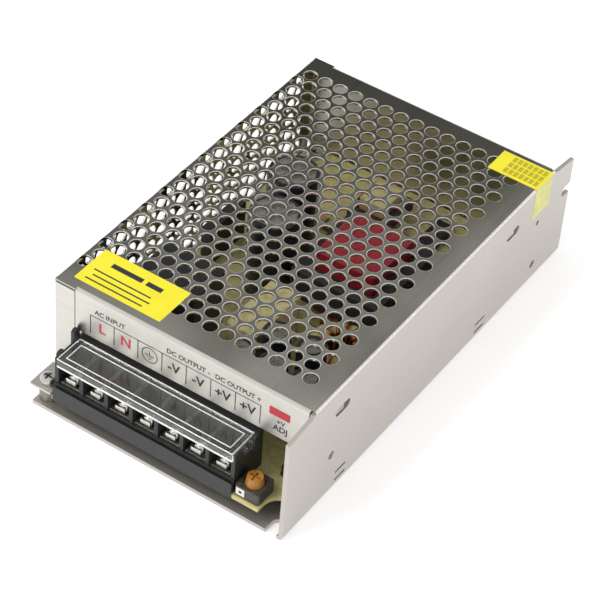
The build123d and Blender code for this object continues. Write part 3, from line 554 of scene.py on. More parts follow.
def make_finishes(tones):
    """Makes every material once, under the record's slot names where the slot has one look."""
    # Bright zinc plated steel, rolled smooth: a mirror with a soft haze and faint streaks along the rolling
    # direction about 0.4 mm wide and 20 mm long. Painted reflection on top: darker clouds, darker towards the
    # back and behind the front edge, lighter along the right edge.
    tree, shader, place = surface(
        "plated_steel_sheet", "bright_zinc_plated_steel", tones.plated, shade(tones.plated, 0.95), 0.4,
        (0.08, 0.14), 0.02, (1.0, 0.02, 1.0), Metallic=1.0,
    )
    # Painted reflection: soft darker clouds mixed into the colour
    cloud = add(
        tree, "ShaderNodeTexNoise", {"Vector": place, "Scale": 1 / (30 * MM), "Detail": 1.5}
    ).outputs[0]
    amount = add(
        tree, "ShaderNodeMapRange",
        {"Value": cloud, "From Min": 0.36, "From Max": 0.64, "To Min": 0.0, "To Max": 0.75},
    ).outputs[0]
    stain_and_painted_shade(tree, shader, amount, shade(tones.plated, 0.5))
    # Painted reflection: darker towards the back and behind the front edge, much less along the right edge
    parts = add(tree, "ShaderNodeSeparateXYZ", {0: place}).outputs
    painted_reflection_ramps = []
    for axis, start, end, low, high in (
        (1, -60, 60, 0.0, 0.72), (1, -66, -54, 0.0, 0.42), (0, 38, 46, 1.0, 0.1)
    ):
        given = {
            "Value": parts[axis], "From Min": start * MM, "From Max": end * MM, "To Min": low, "To Max": high
        }
        painted_reflection_ramps.append(add(tree, "ShaderNodeMapRange", given).outputs[0])
    painted_reflection_shade = add(tree, "ShaderNodeMath", {0: painted_reflection_ramps[0], 1: painted_reflection_ramps[1]}, operation="MAXIMUM").outputs[0]
    painted_reflection_shade = add(tree, "ShaderNodeMath", {0: painted_reflection_shade, 1: painted_reflection_ramps[2]}, operation="MULTIPLY").outputs[0]
    stain_and_painted_shade(tree, shader, painted_reflection_shade, shade(tones.plated, 0.42))

    # The same plating on the skirt and feet, brushed by handling: satin, near white, with lines across it
    # 0.3 mm apart.
    surface(
        "brushed_plating", "brushed_zinc_plating", linear("#D6D3CC"), linear("#CCC9C2"), 0.3, (0.32, 0.4),
        0.02, (0.03, 1.0, 1.0), Metallic=1.0,
    )
    # Cut and rolled edges of the holes: bare burnished steel, brighter than the sheet.
    # On the top's rounded right edge the same finish is a painted highlight.
    surface(
        "burnished_rim", "burnished_steel_edge", linear("#EFEBE3"), linear("#D2CEC6"), 0.5, (0.16, 0.26),
        Metallic=0.95,
    )

    # Aluminium sheet with its mill finish: satin, warm grey, fine lines along the length, soft smudges.
    tree, shader, place = surface(
        "aluminium_sheet", "mill_finish_aluminium", tones.aluminium, shade(tones.aluminium, 0.9), 0.25,
        (0.36, 0.5), 0.05, (1.0, 0.012, 1.0), Metallic=0.8,
    )
    cloud = add(
        tree, "ShaderNodeTexNoise", {"Vector": place, "Scale": 1 / (45 * MM), "Detail": 3.0}
    ).outputs[0]
    amount = add(
        tree, "ShaderNodeMapRange",
        {"Value": cloud, "From Min": 0.35, "From Max": 0.75, "To Min": 0.0, "To Max": 0.16},
    ).outputs[0]
    stain_and_painted_shade(tree, shader, amount, linear("#B0A8A2"))

    # Phenolic moulding of the terminal block: dark charcoal, slightly uneven gloss, fine mould texture.
    surface(
        "block_plastic", "moulded_phenolic", tones.block, shade(tones.block, 0.72), 1.4, (0.34, 0.52), 0.12
    )

    # Clear polystyrene lid: glassy, with a faint haze that comes and goes.
    surface(
        "clear_plastic", "clear_polystyrene", linear("#FFFFFC"), linear("#F8F8F4"), 6.0, (0.0, 0.03),
        Transmission_Weight=0.985, IOR=1.45,
    )
    # Its end faces and thin strips take a whiter, half clear finish: painted highlight lines.
    surface(
        "clear_edge", "polystyrene_edge", linear("#FFFFFF"), linear("#F8F8F4"), 3.0, (0.12, 0.2),
        Transmission_Weight=0.5, IOR=1.5,
    )

    # Nickel plated brass contacts: dulled and a little warm, with thin scuffs.
    surface(
        "contact_metal", "nickel_plated_brass", linear("#A39D90"), linear("#7F796D"), 0.6, (0.3, 0.45), 0.05,
        Metallic=1.0,
    )

    # Zinc plated steel of screws and clamps: cool bright silver, satin in the recesses.
    surface(
        "screw_steel", "zinc_plated_screw_steel", linear("#DAD9D4"), linear("#B4B3AE"), 0.5, (0.14, 0.28),
        0.05, Metallic=1.0,
    )
    surface(
        "clamp_steel", "zinc_plated_clamp_steel", linear("#E2E0DA"), linear("#C4C2BC"), 0.7, (0.12, 0.24),
        0.04, Metallic=1.0,
    )

    # Paper laminate board under a thin coat: tan yellow with a soft sheen, fibres about 0.8 mm wide and
    # darker tracks about 6.5 mm apart.
    tree, shader, place = surface(
        "circuit_board", "coated_paper_board", tones.board, shade(tones.board, 0.84), 0.8, (0.34, 0.48), 0.08,
        (1.0, 0.35, 1.0),
    )
    tracks = add(
        tree, "ShaderNodeTexVoronoi", {"Vector": place, "Scale": 1 / (6.5 * MM)},
        feature="DISTANCE_TO_EDGE", distance="EUCLIDEAN",
    ).outputs[0]
    edge = add(
        tree, "ShaderNodeMapRange",
        {"Value": tracks, "From Min": 0.06, "From Max": 0.1, "To Min": 0.3, "To Max": 0.0},
    ).outputs[0]
    stain_and_painted_shade(tree, shader, edge, shade(tones.board, 0.55))
    # Painted shade: the faces below the board, its solder side, are darkened to grey green.
    height = add(tree, "ShaderNodeSeparateXYZ", {0: place}).outputs[2]
    below = add(
        tree, "ShaderNodeMapRange",
        {"Value": height, "From Min": 6.42 * MM, "From Max": 6.5 * MM, "To Min": 1.0, "To Max": 0.0},
    ).outputs[0]
    stain_and_painted_shade(tree, shader, below, linear("#7C7F72"))

    # Calendered film labels: even saturated yellow, soft gloss. The folded end is thin and looks paler.
    surface("label", "yellow_label_film", tones.label, shade(tones.label, 0.94), 9.0, (0.3, 0.4), 0.02)
    surface("label_fold", "worn_label_film", linear("#DCDA8E"), linear("#CFCB74"), 3.0, (0.34, 0.5), 0.03)

    # Screen printing ink: flat, with a gloss that varies a little.
    surface("ink", "dark_screen_ink", tones.ink, shade(tones.ink, 1.5), 0.3, (0.45, 0.6))
    surface("red_ink", "red_screen_ink", tones.red_ink, shade(tones.red_ink, 0.85), 0.3, (0.45, 0.6))
    surface("white_ink", "white_screen_ink", linear("#F1EFEA"), linear("#DAD7D0"), 0.3, (0.4, 0.55))
    surface("olive_ink", "faded_label_ink", linear("#A89B12"), linear("#C7BA20"), 0.5, (0.4, 0.55))

    # Glass filled nylon of the adjuster: dark brown grey case, amber rotor that light enters a little. The
    # indicator beside it is tinted epoxy: red, glossy and partly clear.
    surface(
        "adjuster_plastic", "glass_filled_nylon", linear("#4C4540"), linear("#332E2A"), 0.9, (0.3, 0.45), 0.1
    )
    surface(
        "rotor_plastic", "amber_nylon", tones.rotor, shade(tones.rotor, 0.75), 1.2, (0.25, 0.38), 0.06,
        Subsurface_Weight=0.15, Subsurface_Scale=0.4 * MM,
    )
    surface(
        "led_lens", "tinted_epoxy", linear("#8C3A2E"), linear("#6E2A22"), 2.0, (0.08, 0.16),
        Transmission_Weight=0.35,
    )

    # Polyester tape on the main transformer: saturated red, glossy, with the edges of turns 6 mm apart.
    tree, shader, place = surface(
        "tape", "red_polyester_tape", tones.tape, shade(tones.tape, 0.8), 5.0, (0.22, 0.34), 0.08
    )
    turns = add(
        tree, "ShaderNodeTexWave", {"Vector": place, "Scale": 1 / (6 * MM) / 6.28, "Distortion": 1.5},
        wave_type="BANDS", bands_direction="X", wave_profile="SAW",
    ).outputs[0]
    relief = add(tree, "ShaderNodeBump", {"Strength": 0.3, "Distance": 0.15 * MM, "Height": turns}).outputs[0]
    tree.links.new(relief, shader.inputs["Normal"])

    # Sintered ferrite: dark grey, dull, with fine pits.
    surface("ferrite", "sintered_ferrite", linear("#3B3B3E"), linear("#29292B"), 0.5, (0.5, 0.7), 0.25)
    # Enamelled copper: coppery brown under clear enamel.
    surface(
        "winding_wire", "enamelled_copper", linear("#C8743C"), linear("#9A4F22"), 1.0, (0.2, 0.32),
        Metallic=1.0, Coat_Weight=0.6,
    )
    # Painted iron powder ring: cream yellow, matt, slightly grainy.
    surface("ring_core", "painted_iron_powder", linear("#D8CF8E"), linear("#BFB46C"), 0.4, (0.5, 0.65), 0.3)
    # Shrink sleeve on the capacitors: near black with a soft sheen; printed stripe; bare drawn aluminium top.
    surface(
        "capacitor_sleeve", "dark_shrink_sleeve", linear("#23262C"), linear("#17191E"), 2.5, (0.28, 0.4), 0.06
    )
    surface("stripe", "printed_sleeve_stripe", linear("#B9B7AE"), linear("#9C9A92"), 0.6, (0.3, 0.45))
    surface(
        "can_top", "drawn_aluminium", linear("#B4B2AD"), linear("#8F8D88"), 0.5, (0.26, 0.4), 0.08,
        Metallic=1.0,
    )
    surface("score", "scored_aluminium", linear("#9A9892"), linear("#83817B"), 0.4, (0.4, 0.55), Metallic=1.0)
    # Moulded polyester box of the choke: black and satin.
    surface("choke_black", "moulded_polyester", linear("#26272A"), linear("#1A1B1D"), 1.6, (0.35, 0.5), 0.1)
    # Moulded polypropylene box of the film capacitor: pale yellow, glossy.
    surface(
        "capacitor_yellow", "yellow_polypropylene", linear("#DCD19C"), linear("#C6B97E"), 3.0, (0.24, 0.36),
        0.06,
    )
    # Dipped epoxy of the disc capacitors and the thermistor: uneven, blue and glossy or black and satin. The
    # packages on the side wall are moulded epoxy: black and matt.
    surface(
        "capacitor_blue", "dipped_blue_epoxy", linear("#3D63C4"), linear("#2A4CA0"), 2.2, (0.12, 0.26), 0.35,
        Coat_Weight=0.4,
    )
    surface(
        "thermistor_black", "dipped_black_epoxy", linear("#262A26"), linear("#171A17"), 2.0, (0.3, 0.5), 0.4
    )
    surface("package_black", "moulded_epoxy", linear("#2A2B2D"), linear("#1B1C1E"), 0.6, (0.4, 0.58), 0.15)
    # Fuse tube: clear glass between tinned caps.
    surface(
        "fuse_glass", "fuse_glass", linear("#F4F6F2"), linear("#E4E8E2"), 5.0, (0.01, 0.04),
        Transmission_Weight=1.0, IOR=1.5,
    )
    # Extruded aluminium bar: lighter than the sheet, with lines along its length about 0.6 mm apart. It
    # presses on silicone pads: blue grey and matt. The film under the board is polyester: grey and satin.
    surface(
        "aluminium_bar", "extruded_aluminium", linear("#CFCCC5"), linear("#B2AFA8"), 0.6, (0.3, 0.45), 0.1,
        (1.0, 0.02, 1.0), Metallic=1.0,
    )
    surface("pad_rubber", "silicone_pad", linear("#8E9AA0"), linear("#76828A"), 0.8, (0.55, 0.7), 0.15)
    surface("insulator", "polyester_film", linear("#A3A69C"), linear("#90938A"), 4.0, (0.2, 0.35), 0.04)
    # Lacquered resistor bodies: sandy, with colour rings.
    surface("resistor_body", "lacquered_ceramic", linear("#C9A878"), linear("#B08E60"), 1.0, (0.25, 0.4), 0.1)
    surface("ring_brown", "brown_lacquer", linear("#5A3220"), linear("#462616"), 0.8, (0.25, 0.4))


class SupplyOperator:
    """What the operators share."""

    bl_options = {"REGISTER", "UNDO"}


class SUPPLY_OT_finishes(SupplyOperator, bpy.types.Operator):
    """Make the finishes and the trees that repeat pieces."""

    bl_idname = "supply.finishes"
    bl_label = "Finishes"

    def execute(self, context):
        make_finishes(context.scene.supply_colours)
        TREES["punched"] = punched_sheet_tree()
        TREES["rows"] = rows_tree()
        TREES["places"] = places_tree()
        TREES["winding"] = winding_tree()
        return {"FINISHED"}


class SUPPLY_OT_cover(SupplyOperator, bpy.types.Operator):
    """Fold the cover from plated sheet and punch its ventilation holes."""

    bl_idname = "supply.cover"
    bl_label = "Perforated cover"

    def execute(self, context):
        sizes = context.scene.supply_cover
        sheet, bend, top = sizes.sheet / MM, sizes.bend / MM, sizes.top / MM
        hole, pitch = sizes.hole / MM, sizes.pitch / MM
        rim, rim_depth = sizes.rim / MM, sizes.rim_depth / MM
        row = pitch * math.sqrt(3) / 2
        steel = FINISH["plated_steel_sheet"]
        flat = COVER_END - bend

        # Top and left wall, one sheet, with a rounded right edge
        right, rounding = 48.25, 0.7
        outline = folded([(right, top), (-SIDE, top), (-SIDE, 0.3)], sheet, bend, 1)
        outline.append((right + rounding, top - sheet))
        for i in range(6):
            angle = HALF * i / 6
            outline.append((right + rounding * math.cos(angle), top + rounding * (math.sin(angle) - 1)))
        made = bmesh.new()
        add_prism(made, outline, "y", -flat, flat)
        cover = plain_object("perforated_cover", made, [steel], 30)

        # Punches: round bars with a flared end that leaves the rolled rim, and a plain one for the bend
        radius = hole / 2
        above = 0.05
        flare = rim * (1 + above / rim_depth)
        flared = [(0, -1.6), (radius, -1.6), (radius, -rim_depth), (radius + flare, above), (0, above)]
        plain = [(0, -2.6), (radius, -2.6), (radius, 2.4), (0, 2.4)]
        punches = {}
        for name, profile, lean in (
            ("upright_punch", flared, 0.0), ("level_punch", flared, -HALF),
            ("leaning_punch", plain, math.radians(-60)),
        ):
            made = bmesh.new()
            add_lathe(made, profile, sizes.hole_sides, Matrix.Rotation(lean, 4, "Y"))
            punches[name] = plain_object(name, made)

        # The top and the wall have their own fields. Over the bend one column is punched from above and one
        # at a slant, in turn.
        first = 12.1 - COVER_END
        step, two_steps, still = (0, row, 0), (0, 2 * row, 0), (0, 0, 0)
        across, down = (-pitch, 0, 0), (0, 0, -pitch)
        half_across, half_down = (-pitch / 2, 0, 0), (0, 0, -pitch / 2)
        for name, field in (
            ("upright_punch", (sizes.rows, sizes.columns, (39.5, first, top), step, across, half_across)),
            ("level_punch", (sizes.rows, 6, (-SIDE, first, 39.0), step, down, half_down)),
            ("upright_punch", (sizes.rows // 2, 1, (-46.4, first, top), two_steps, still, still)),
            ("leaning_punch", (sizes.rows // 2, 1, (-SIDE, first + row, 42.1), two_steps, still, still)),
        ):
            grow(cover, TREES["punched"], {"Punch": punches[name], **grid(*field, steel)})
        applied(cover)
        for punch in punches.values():
            discard(punch)

        # Cut edges and rolled rims are bare and burnished.
        # The rounded right edge takes the same bright finish as a painted highlight line.
        made = bmesh.new()
        made.from_mesh(cover.data)
        for face in made.faces:
            middle = face.calc_center_median() / MM
            if abs(middle.y) < flat - 1:
                in_top = top - sheet < middle.z < top - 0.01 and -47.6 < middle.x < 47
                in_wall = -SIDE < middle.x < -48.21 and middle.z < 43.5
                face.material_index = 2 if in_top or (in_wall and abs(face.normal.x) < 0.9) else 0
            # Painted highlight: the rounded right edge takes the bright rim finish
            if middle.x > right + 0.01:
                face.material_index = 2

        # Skirt, back wall, flanges with their feet, and the tongues that hook into the side wall
        for side, bottom in ((-1, 28.0), (1, 1.8)):
            wall, end = side * COVER_END, side * CASE_END
            outline = folded([(side * flat, top), (wall, top), (wall, bottom)], sheet, bend, -side)
            add_prism(made, outline, "x", -40.5, 47.2, 1)
            low, high = sorted((side * flat, wall))
            add_box(made, (-48.4, low, top - sheet), (-40.5, high, top))
            outline = folded([(-SIDE, side * flat), (-SIDE, wall), (-47.8, wall)], sheet, bend, -side)
            add_prism(made, outline, "z", 8.0, 43.6, 1)
            outline = folded([(wall, 43.6), (wall, 8.8), (end, 8.8)], sheet, bend, -side)
            add_prism(made, outline, "x", -47.8, -40.8, 1)
            low, high = sorted((end, side * 73.2))
            add_box(made, (-SIDE, low, 8.0), (-47.8, high, 8.8), 1)
        for y in (-55.7, 45.9):
            add_box(made, (46.6, y - 6.5, 31.0), (47.4, y + 6.5, top - sheet + 0.02))
            add_box(made, (47.2, y - 3.3, 33.7), (48.6, y + 1.0, 35.7))
        bmesh.ops.recalc_face_normals(made, faces=made.faces)
        made.to_mesh(cover.data)
        made.free()
        cover.data.materials.append(FINISH["brushed_plating"])
        cover.data.materials.append(FINISH["burnished_rim"])
        shaded(cover.data, 30)
        even = cover.modifiers.new("Even shading", "WEIGHTED_NORMAL")
        even.weight = 100
        even.keep_sharp = True
        applied(cover)
        seat(cover, "case", "plated_steel_sheet", "cover")
        return {"FINISHED"}


class SUPPLY_OT_chassis(SupplyOperator, bpy.types.Operator):
    """Round the edges of the chassis sheet and finish what lies in it."""

    bl_idname = "supply.chassis"
    bl_label = "Chassis and flat parts"

    def execute(self, context):
        sizes = context.scene.supply_fittings

        def room_for_label(v):
            v.co.x = min(v.co.x, (SIDE - 0.05) * MM)

        softened(
            "chassis", "folded_chassis", FINISH["aluminium_sheet"], "case", "aluminium_sheet",
            sizes.sheet_edge / MM, room_for_label,
        )
        for node, finish in (
            ("board", "circuit_board"),
            ("insulating_sheet", "insulator"),
            ("insulating_pads", "pad_rubber"),
            ("board_spacers", "contact_metal"),
            ("foot_spacers", "contact_metal"),
        ):
            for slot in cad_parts[node].material_slots:
                slot.material = FINISH[finish]
        return {"FINISHED"}


def pan_screw(name, sizes, shank):
    """A pan head screw with a cross recess, its seat at the origin and its head up."""
    r, h, s = sizes.head_radius / MM, sizes.head_height / MM, sizes.shank_radius / MM
    made = bmesh.new()
    profile = [(0, -shank), (s - 0.3, -shank), (s, -shank + 0.4), (s, 0), (r - 0.15, 0), (r, 0.15)]
    profile.append((r, h * 0.45))
    for i in range(1, 6):
        angle = HALF * i / 6
        profile.append((r * (0.35 + 0.65 * math.cos(angle)), h * (0.45 + 0.55 * math.sin(angle))))
    profile += [(0.35 * r, h), (0, h)]
    add_lathe(made, profile, 32)
    screw = plain_object(name, made, [FINISH["screw_steel"]])
    made = bmesh.new()
    for turn in (0, HALF):
        blade = bmesh.ops.create_cube(made, size=1.0)["verts"]
        for v in blade:
            long, wide = (3.5, 0.62) if v.co.z > 0 else (3.5 * 0.55, 0.62 * 0.7)
            v.co = Vector((v.co.x * long, v.co.y * wide, 0.6 * h + v.co.z * 1.9))
            v.co = Matrix.Rotation(turn, 3, "Z") @ v.co * MM
    bit = plain_object("driver_bit", made)
    cut = screw.modifiers.new("Recess", "BOOLEAN")
    cut.object = bit
    cut.operation = "DIFFERENCE"
    cut.solver = "EXACT"
    cut.use_self = True
    applied(screw)
    discard(bit)
    return screw


class SUPPLY_OT_screws(SupplyOperator, bpy.types.Operator):
    """Set the pan head screws on the feet, the board and the clamp bars."""

    bl_idname = "supply.screws"
    bl_label = "Screws"

    def execute(self, context):
        sizes = context.scene.supply_fittings
        feet = [(-44.9, -80.75, 8.8), (-44.9, 80.75, 8.8)]
        piece = stand_on("foot_screws", pan_screw("pattern_foot_screw", sizes, 6.2), feet)
        seat(piece, "case", "screw_steel", "cover_screws")
        corners = [(-42.0, -66.0, 8.0), (42.0, -60.0, 8.0), (-42.0, 66.0, 8.0), (42.0, 66.0, 8.0)]
        piece = stand_on("board_fixing_screws", pan_screw("pattern_board_screw", sizes, 5.4), corners)
        seat(piece, "case", "screw_steel", "board_screws")
        softened("bar_screws", "bar_fixing_screws", FINISH["screw_steel"], "case", "screw_steel", 0.3)
        return {"FINISHED"}


class SUPPLY_OT_terminals(SupplyOperator, bpy.types.Operator):
    """Finish the terminal block with its contacts, clamps, screws and clear lid."""

    bl_idname = "supply.terminals"
    bl_label = "Terminal block"

    def execute(self, context):
        sizes = context.scene.supply_fittings
        edge = sizes.moulded_edge / MM
        softened("terminal_housing", "moulded_block", FINISH["block_plastic"], "case", "block_plastic", edge)
        softened("terminal_contacts", "contact_bars", FINISH["contact_metal"], "case", "contact_metal", 0.12)

        # Clear lid: a plate with its front rim in one piece. Its end faces, a raised frame of thin strips and
        # a strip at the foot of the rim take the whiter finish, painted highlight lines.
        low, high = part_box("terminal_lid")
        made = bmesh.new()
        left, right, front, rear = -38.1, 29.0, -84.9, -73.2
        foot, under, over = 22.1, 24.3, 25.3
        rim = [(front, foot), (front + 0.8, foot), (front + 0.8, under)]
        rim += [(rear, under), (rear, over), (front, over)]
        add_prism(made, rim, "x", left, right)
        for face in made.faces:
            face.material_index = 1 if abs(face.normal.x) > 0.9 else 0
        # Two raised rings of thin strips in the whiter finish: painted highlight lines
        for inset in (0.0, 2.1):
            a, b, c, d = left + inset, right - inset, front + inset, rear - inset
            line = 0.22
            for x1, y1, x2, y2 in (
                (a, c, b, c + line), (a, d - line, b, d), (a, c, a + line, d), (b - line, c, b, d),
            ):
                add_box(made, (x1, y1, over - 0.03), (x2, y2, over + 0.25), 1)
        # A strip along the foot of the front rim in the whiter finish: a painted highlight line
        add_box(made, (left, front - 0.02, foot - 0.02), (right, front + 0.84, foot + 0.2), 1)
        for start, reach in ((low.x / MM, left), (right, right + 0.7)):
            pin = Matrix.Translation(metres(start, -74.1, 24.8)) @ Matrix.Rotation(HALF, 4, "Y")
            add_lathe(made, [(0, 0), (0.75, 0), (0.75, reach - start), (0, reach - start)], 16, pin)
        clip = [(-79.7, foot), (-76.3, foot), (-76.3, over), (-76.9, over), (-76.9, 22.7), (-79.1, 22.7)]
        clip += [(-79.1, over), (-79.7, over)]
        add_prism(made, clip, "x", right, high.x / MM)
        lid = plain_object("hinged_clear_lid", made, [FINISH["clear_plastic"], FINISH["clear_edge"]])
        seat(lid, "lid", "clear_plastic", "terminal_lid")
        lid.visible_shadow = False

        # Front lip of the block, which hides the board's edge
        made = bmesh.new()
        add_box(made, (-39.9, -CASE_END, 6.2), (29.4, 0.28 - CASE_END, 12.6))
        seat(plain_object("block_front_lip", made, [FINISH["block_plastic"]]), "case", "block_plastic")

        # One screw and one square clamp, narrower in front, in each way
        for way in range(1, WAYS + 1):
            low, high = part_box(f"terminal_screw_{way}")
            screw = pan_screw(f"clamp_screw_{way}", sizes, (high.z - low.z) / MM - sizes.head_height / MM)
            seat_level = high.z - sizes.head_height
            place = Matrix.Translation(((low.x + high.x) / 2, (low.y + high.y) / 2, seat_level))
            screw.data.transform(place @ Matrix.Rotation(math.radians(23 + 31 * way), 4, "Z"))
            shaded(screw.data)
            seat(screw, f"terminal_{way}", "screw_steel", f"terminal_screw_{way}")
            middle = (low.x + high.x) / 2

            def narrow_front(v):
                if v.co.y < -81.5 * MM:
                    v.co.x = middle + (v.co.x - middle) * 0.55

            softened(
                f"terminal_clamp_{way}", f"square_clamp_{way}", FINISH["clamp_steel"], f"terminal_{way}",
                "clamp_steel", 0.16, narrow_front,
            )
        return {"FINISHED"}


class SUPPLY_OT_adjuster(SupplyOperator, bpy.types.Operator):
    """Finish the output adjuster and the indicator beside it."""

    bl_idname = "supply.adjuster"
    bl_label = "Adjuster and indicator"

    def execute(self, context):
        case = FINISH["adjuster_plastic"]
        softened("trim_pot_body", "adjuster_case", case, "case", "adjuster_plastic", 0.3)
        low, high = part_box("trim_pot_rotor")
        middle = (low + high) / 2

        def narrow_top(v):
            if v.co.z > low.z + (high.z - low.z) * 0.3:
                v.co.xy = middle.xy + (v.co.xy - middle.xy) * 0.8

        rotor = FINISH["rotor_plastic"]
        softened("trim_pot_rotor", "adjuster_rotor", rotor, "rotor", "rotor_plastic", 0.2, narrow_top)
        made = bmesh.new()
        add_box(made, (30.6, -84.16, 8.9), (33.7, -84.06, 11.9), 0)
        add_lathe(
            made, [(0, 0), (0.55, 0), (0.55, 0.08), (0, 0.08)], 16,
            Matrix.Translation(metres(32.2, -84.14, 10.4)) @ Matrix.Rotation(HALF, 4, "X"), [1, 1, 1],
        )
        mark = plain_object("adjuster_mark", made, [FINISH["white_ink"], FINISH["ink"]])
        seat(mark, "case", "adjuster_plastic")
        low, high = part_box("indicator_led")
        x, y = (low.x + high.x) / 2 / MM, (low.y + high.y) / 2 / MM
        z, height = low.z / MM, (high.z - low.z) / MM
        flange, lens = 1.42, 1.2
        profile = [(0, 0), (flange, 0), (flange, 0.5), (lens, 0.6), (lens, height - lens)]
        for i in range(1, 6):
            angle = HALF * i / 6
            profile.append((lens * math.cos(angle), height - lens + lens * math.sin(angle)))
        made = bmesh.new()
        add_lathe(made, profile + [(0, height)], 24, Matrix.Translation(metres(x, y, z)))
        seat(plain_object("indicator_lens", made, [FINISH["led_lens"]]), "case", "led_lens", "indicator_led")
        return {"FINISHED"}


def can(name, radius, height, sides=32):
    """An electrolytic capacitor: sleeve with crimp and rolled rim, printed stripe, scored aluminium top."""
    profile = [(0, 0), (radius - 0.5, 0), (radius - 0.1, 0.3)]
    profile += [(radius - 0.1, 1.6), (radius - 0.7, 2.2), (radius - 0.1, 2.8), (radius, 3.1)]
    profile += [(radius, height - 0.9), (radius - 0.25, height - 0.3), (radius - 0.8, height)]
    profile += [(radius - 1.5, height - 0.1), (radius - 1.6, height - 0.35), (0, height - 0.3)]

    def pick(step, side):
        if step >= len(profile) - 3:
            return 1
        return 2 if side % sides < sides // 8 and step < len(profile) - 5 else 0

    made = bmesh.new()
    add_lathe(made, profile, sides, slots=pick)
    for turn in (0, 60, 120):
        way = Matrix.Rotation(math.radians(turn), 3, "Z")
        reach = radius * 0.55
        wide = 0.14
        corners = ((-reach, -wide, 0), (reach, -wide, 0), (reach, wide, 0), (-reach, wide, 0))
        turned = [way @ Vector(c) for c in corners]
        add_prism(made, [(c.x, c.y) for c in turned], "z", height - 0.6, height - 0.26, 3)
    return plain_object(
        name, made, [FINISH["capacitor_sleeve"], FINISH["can_top"], FINISH["stripe"], FINISH["score"]]
    )


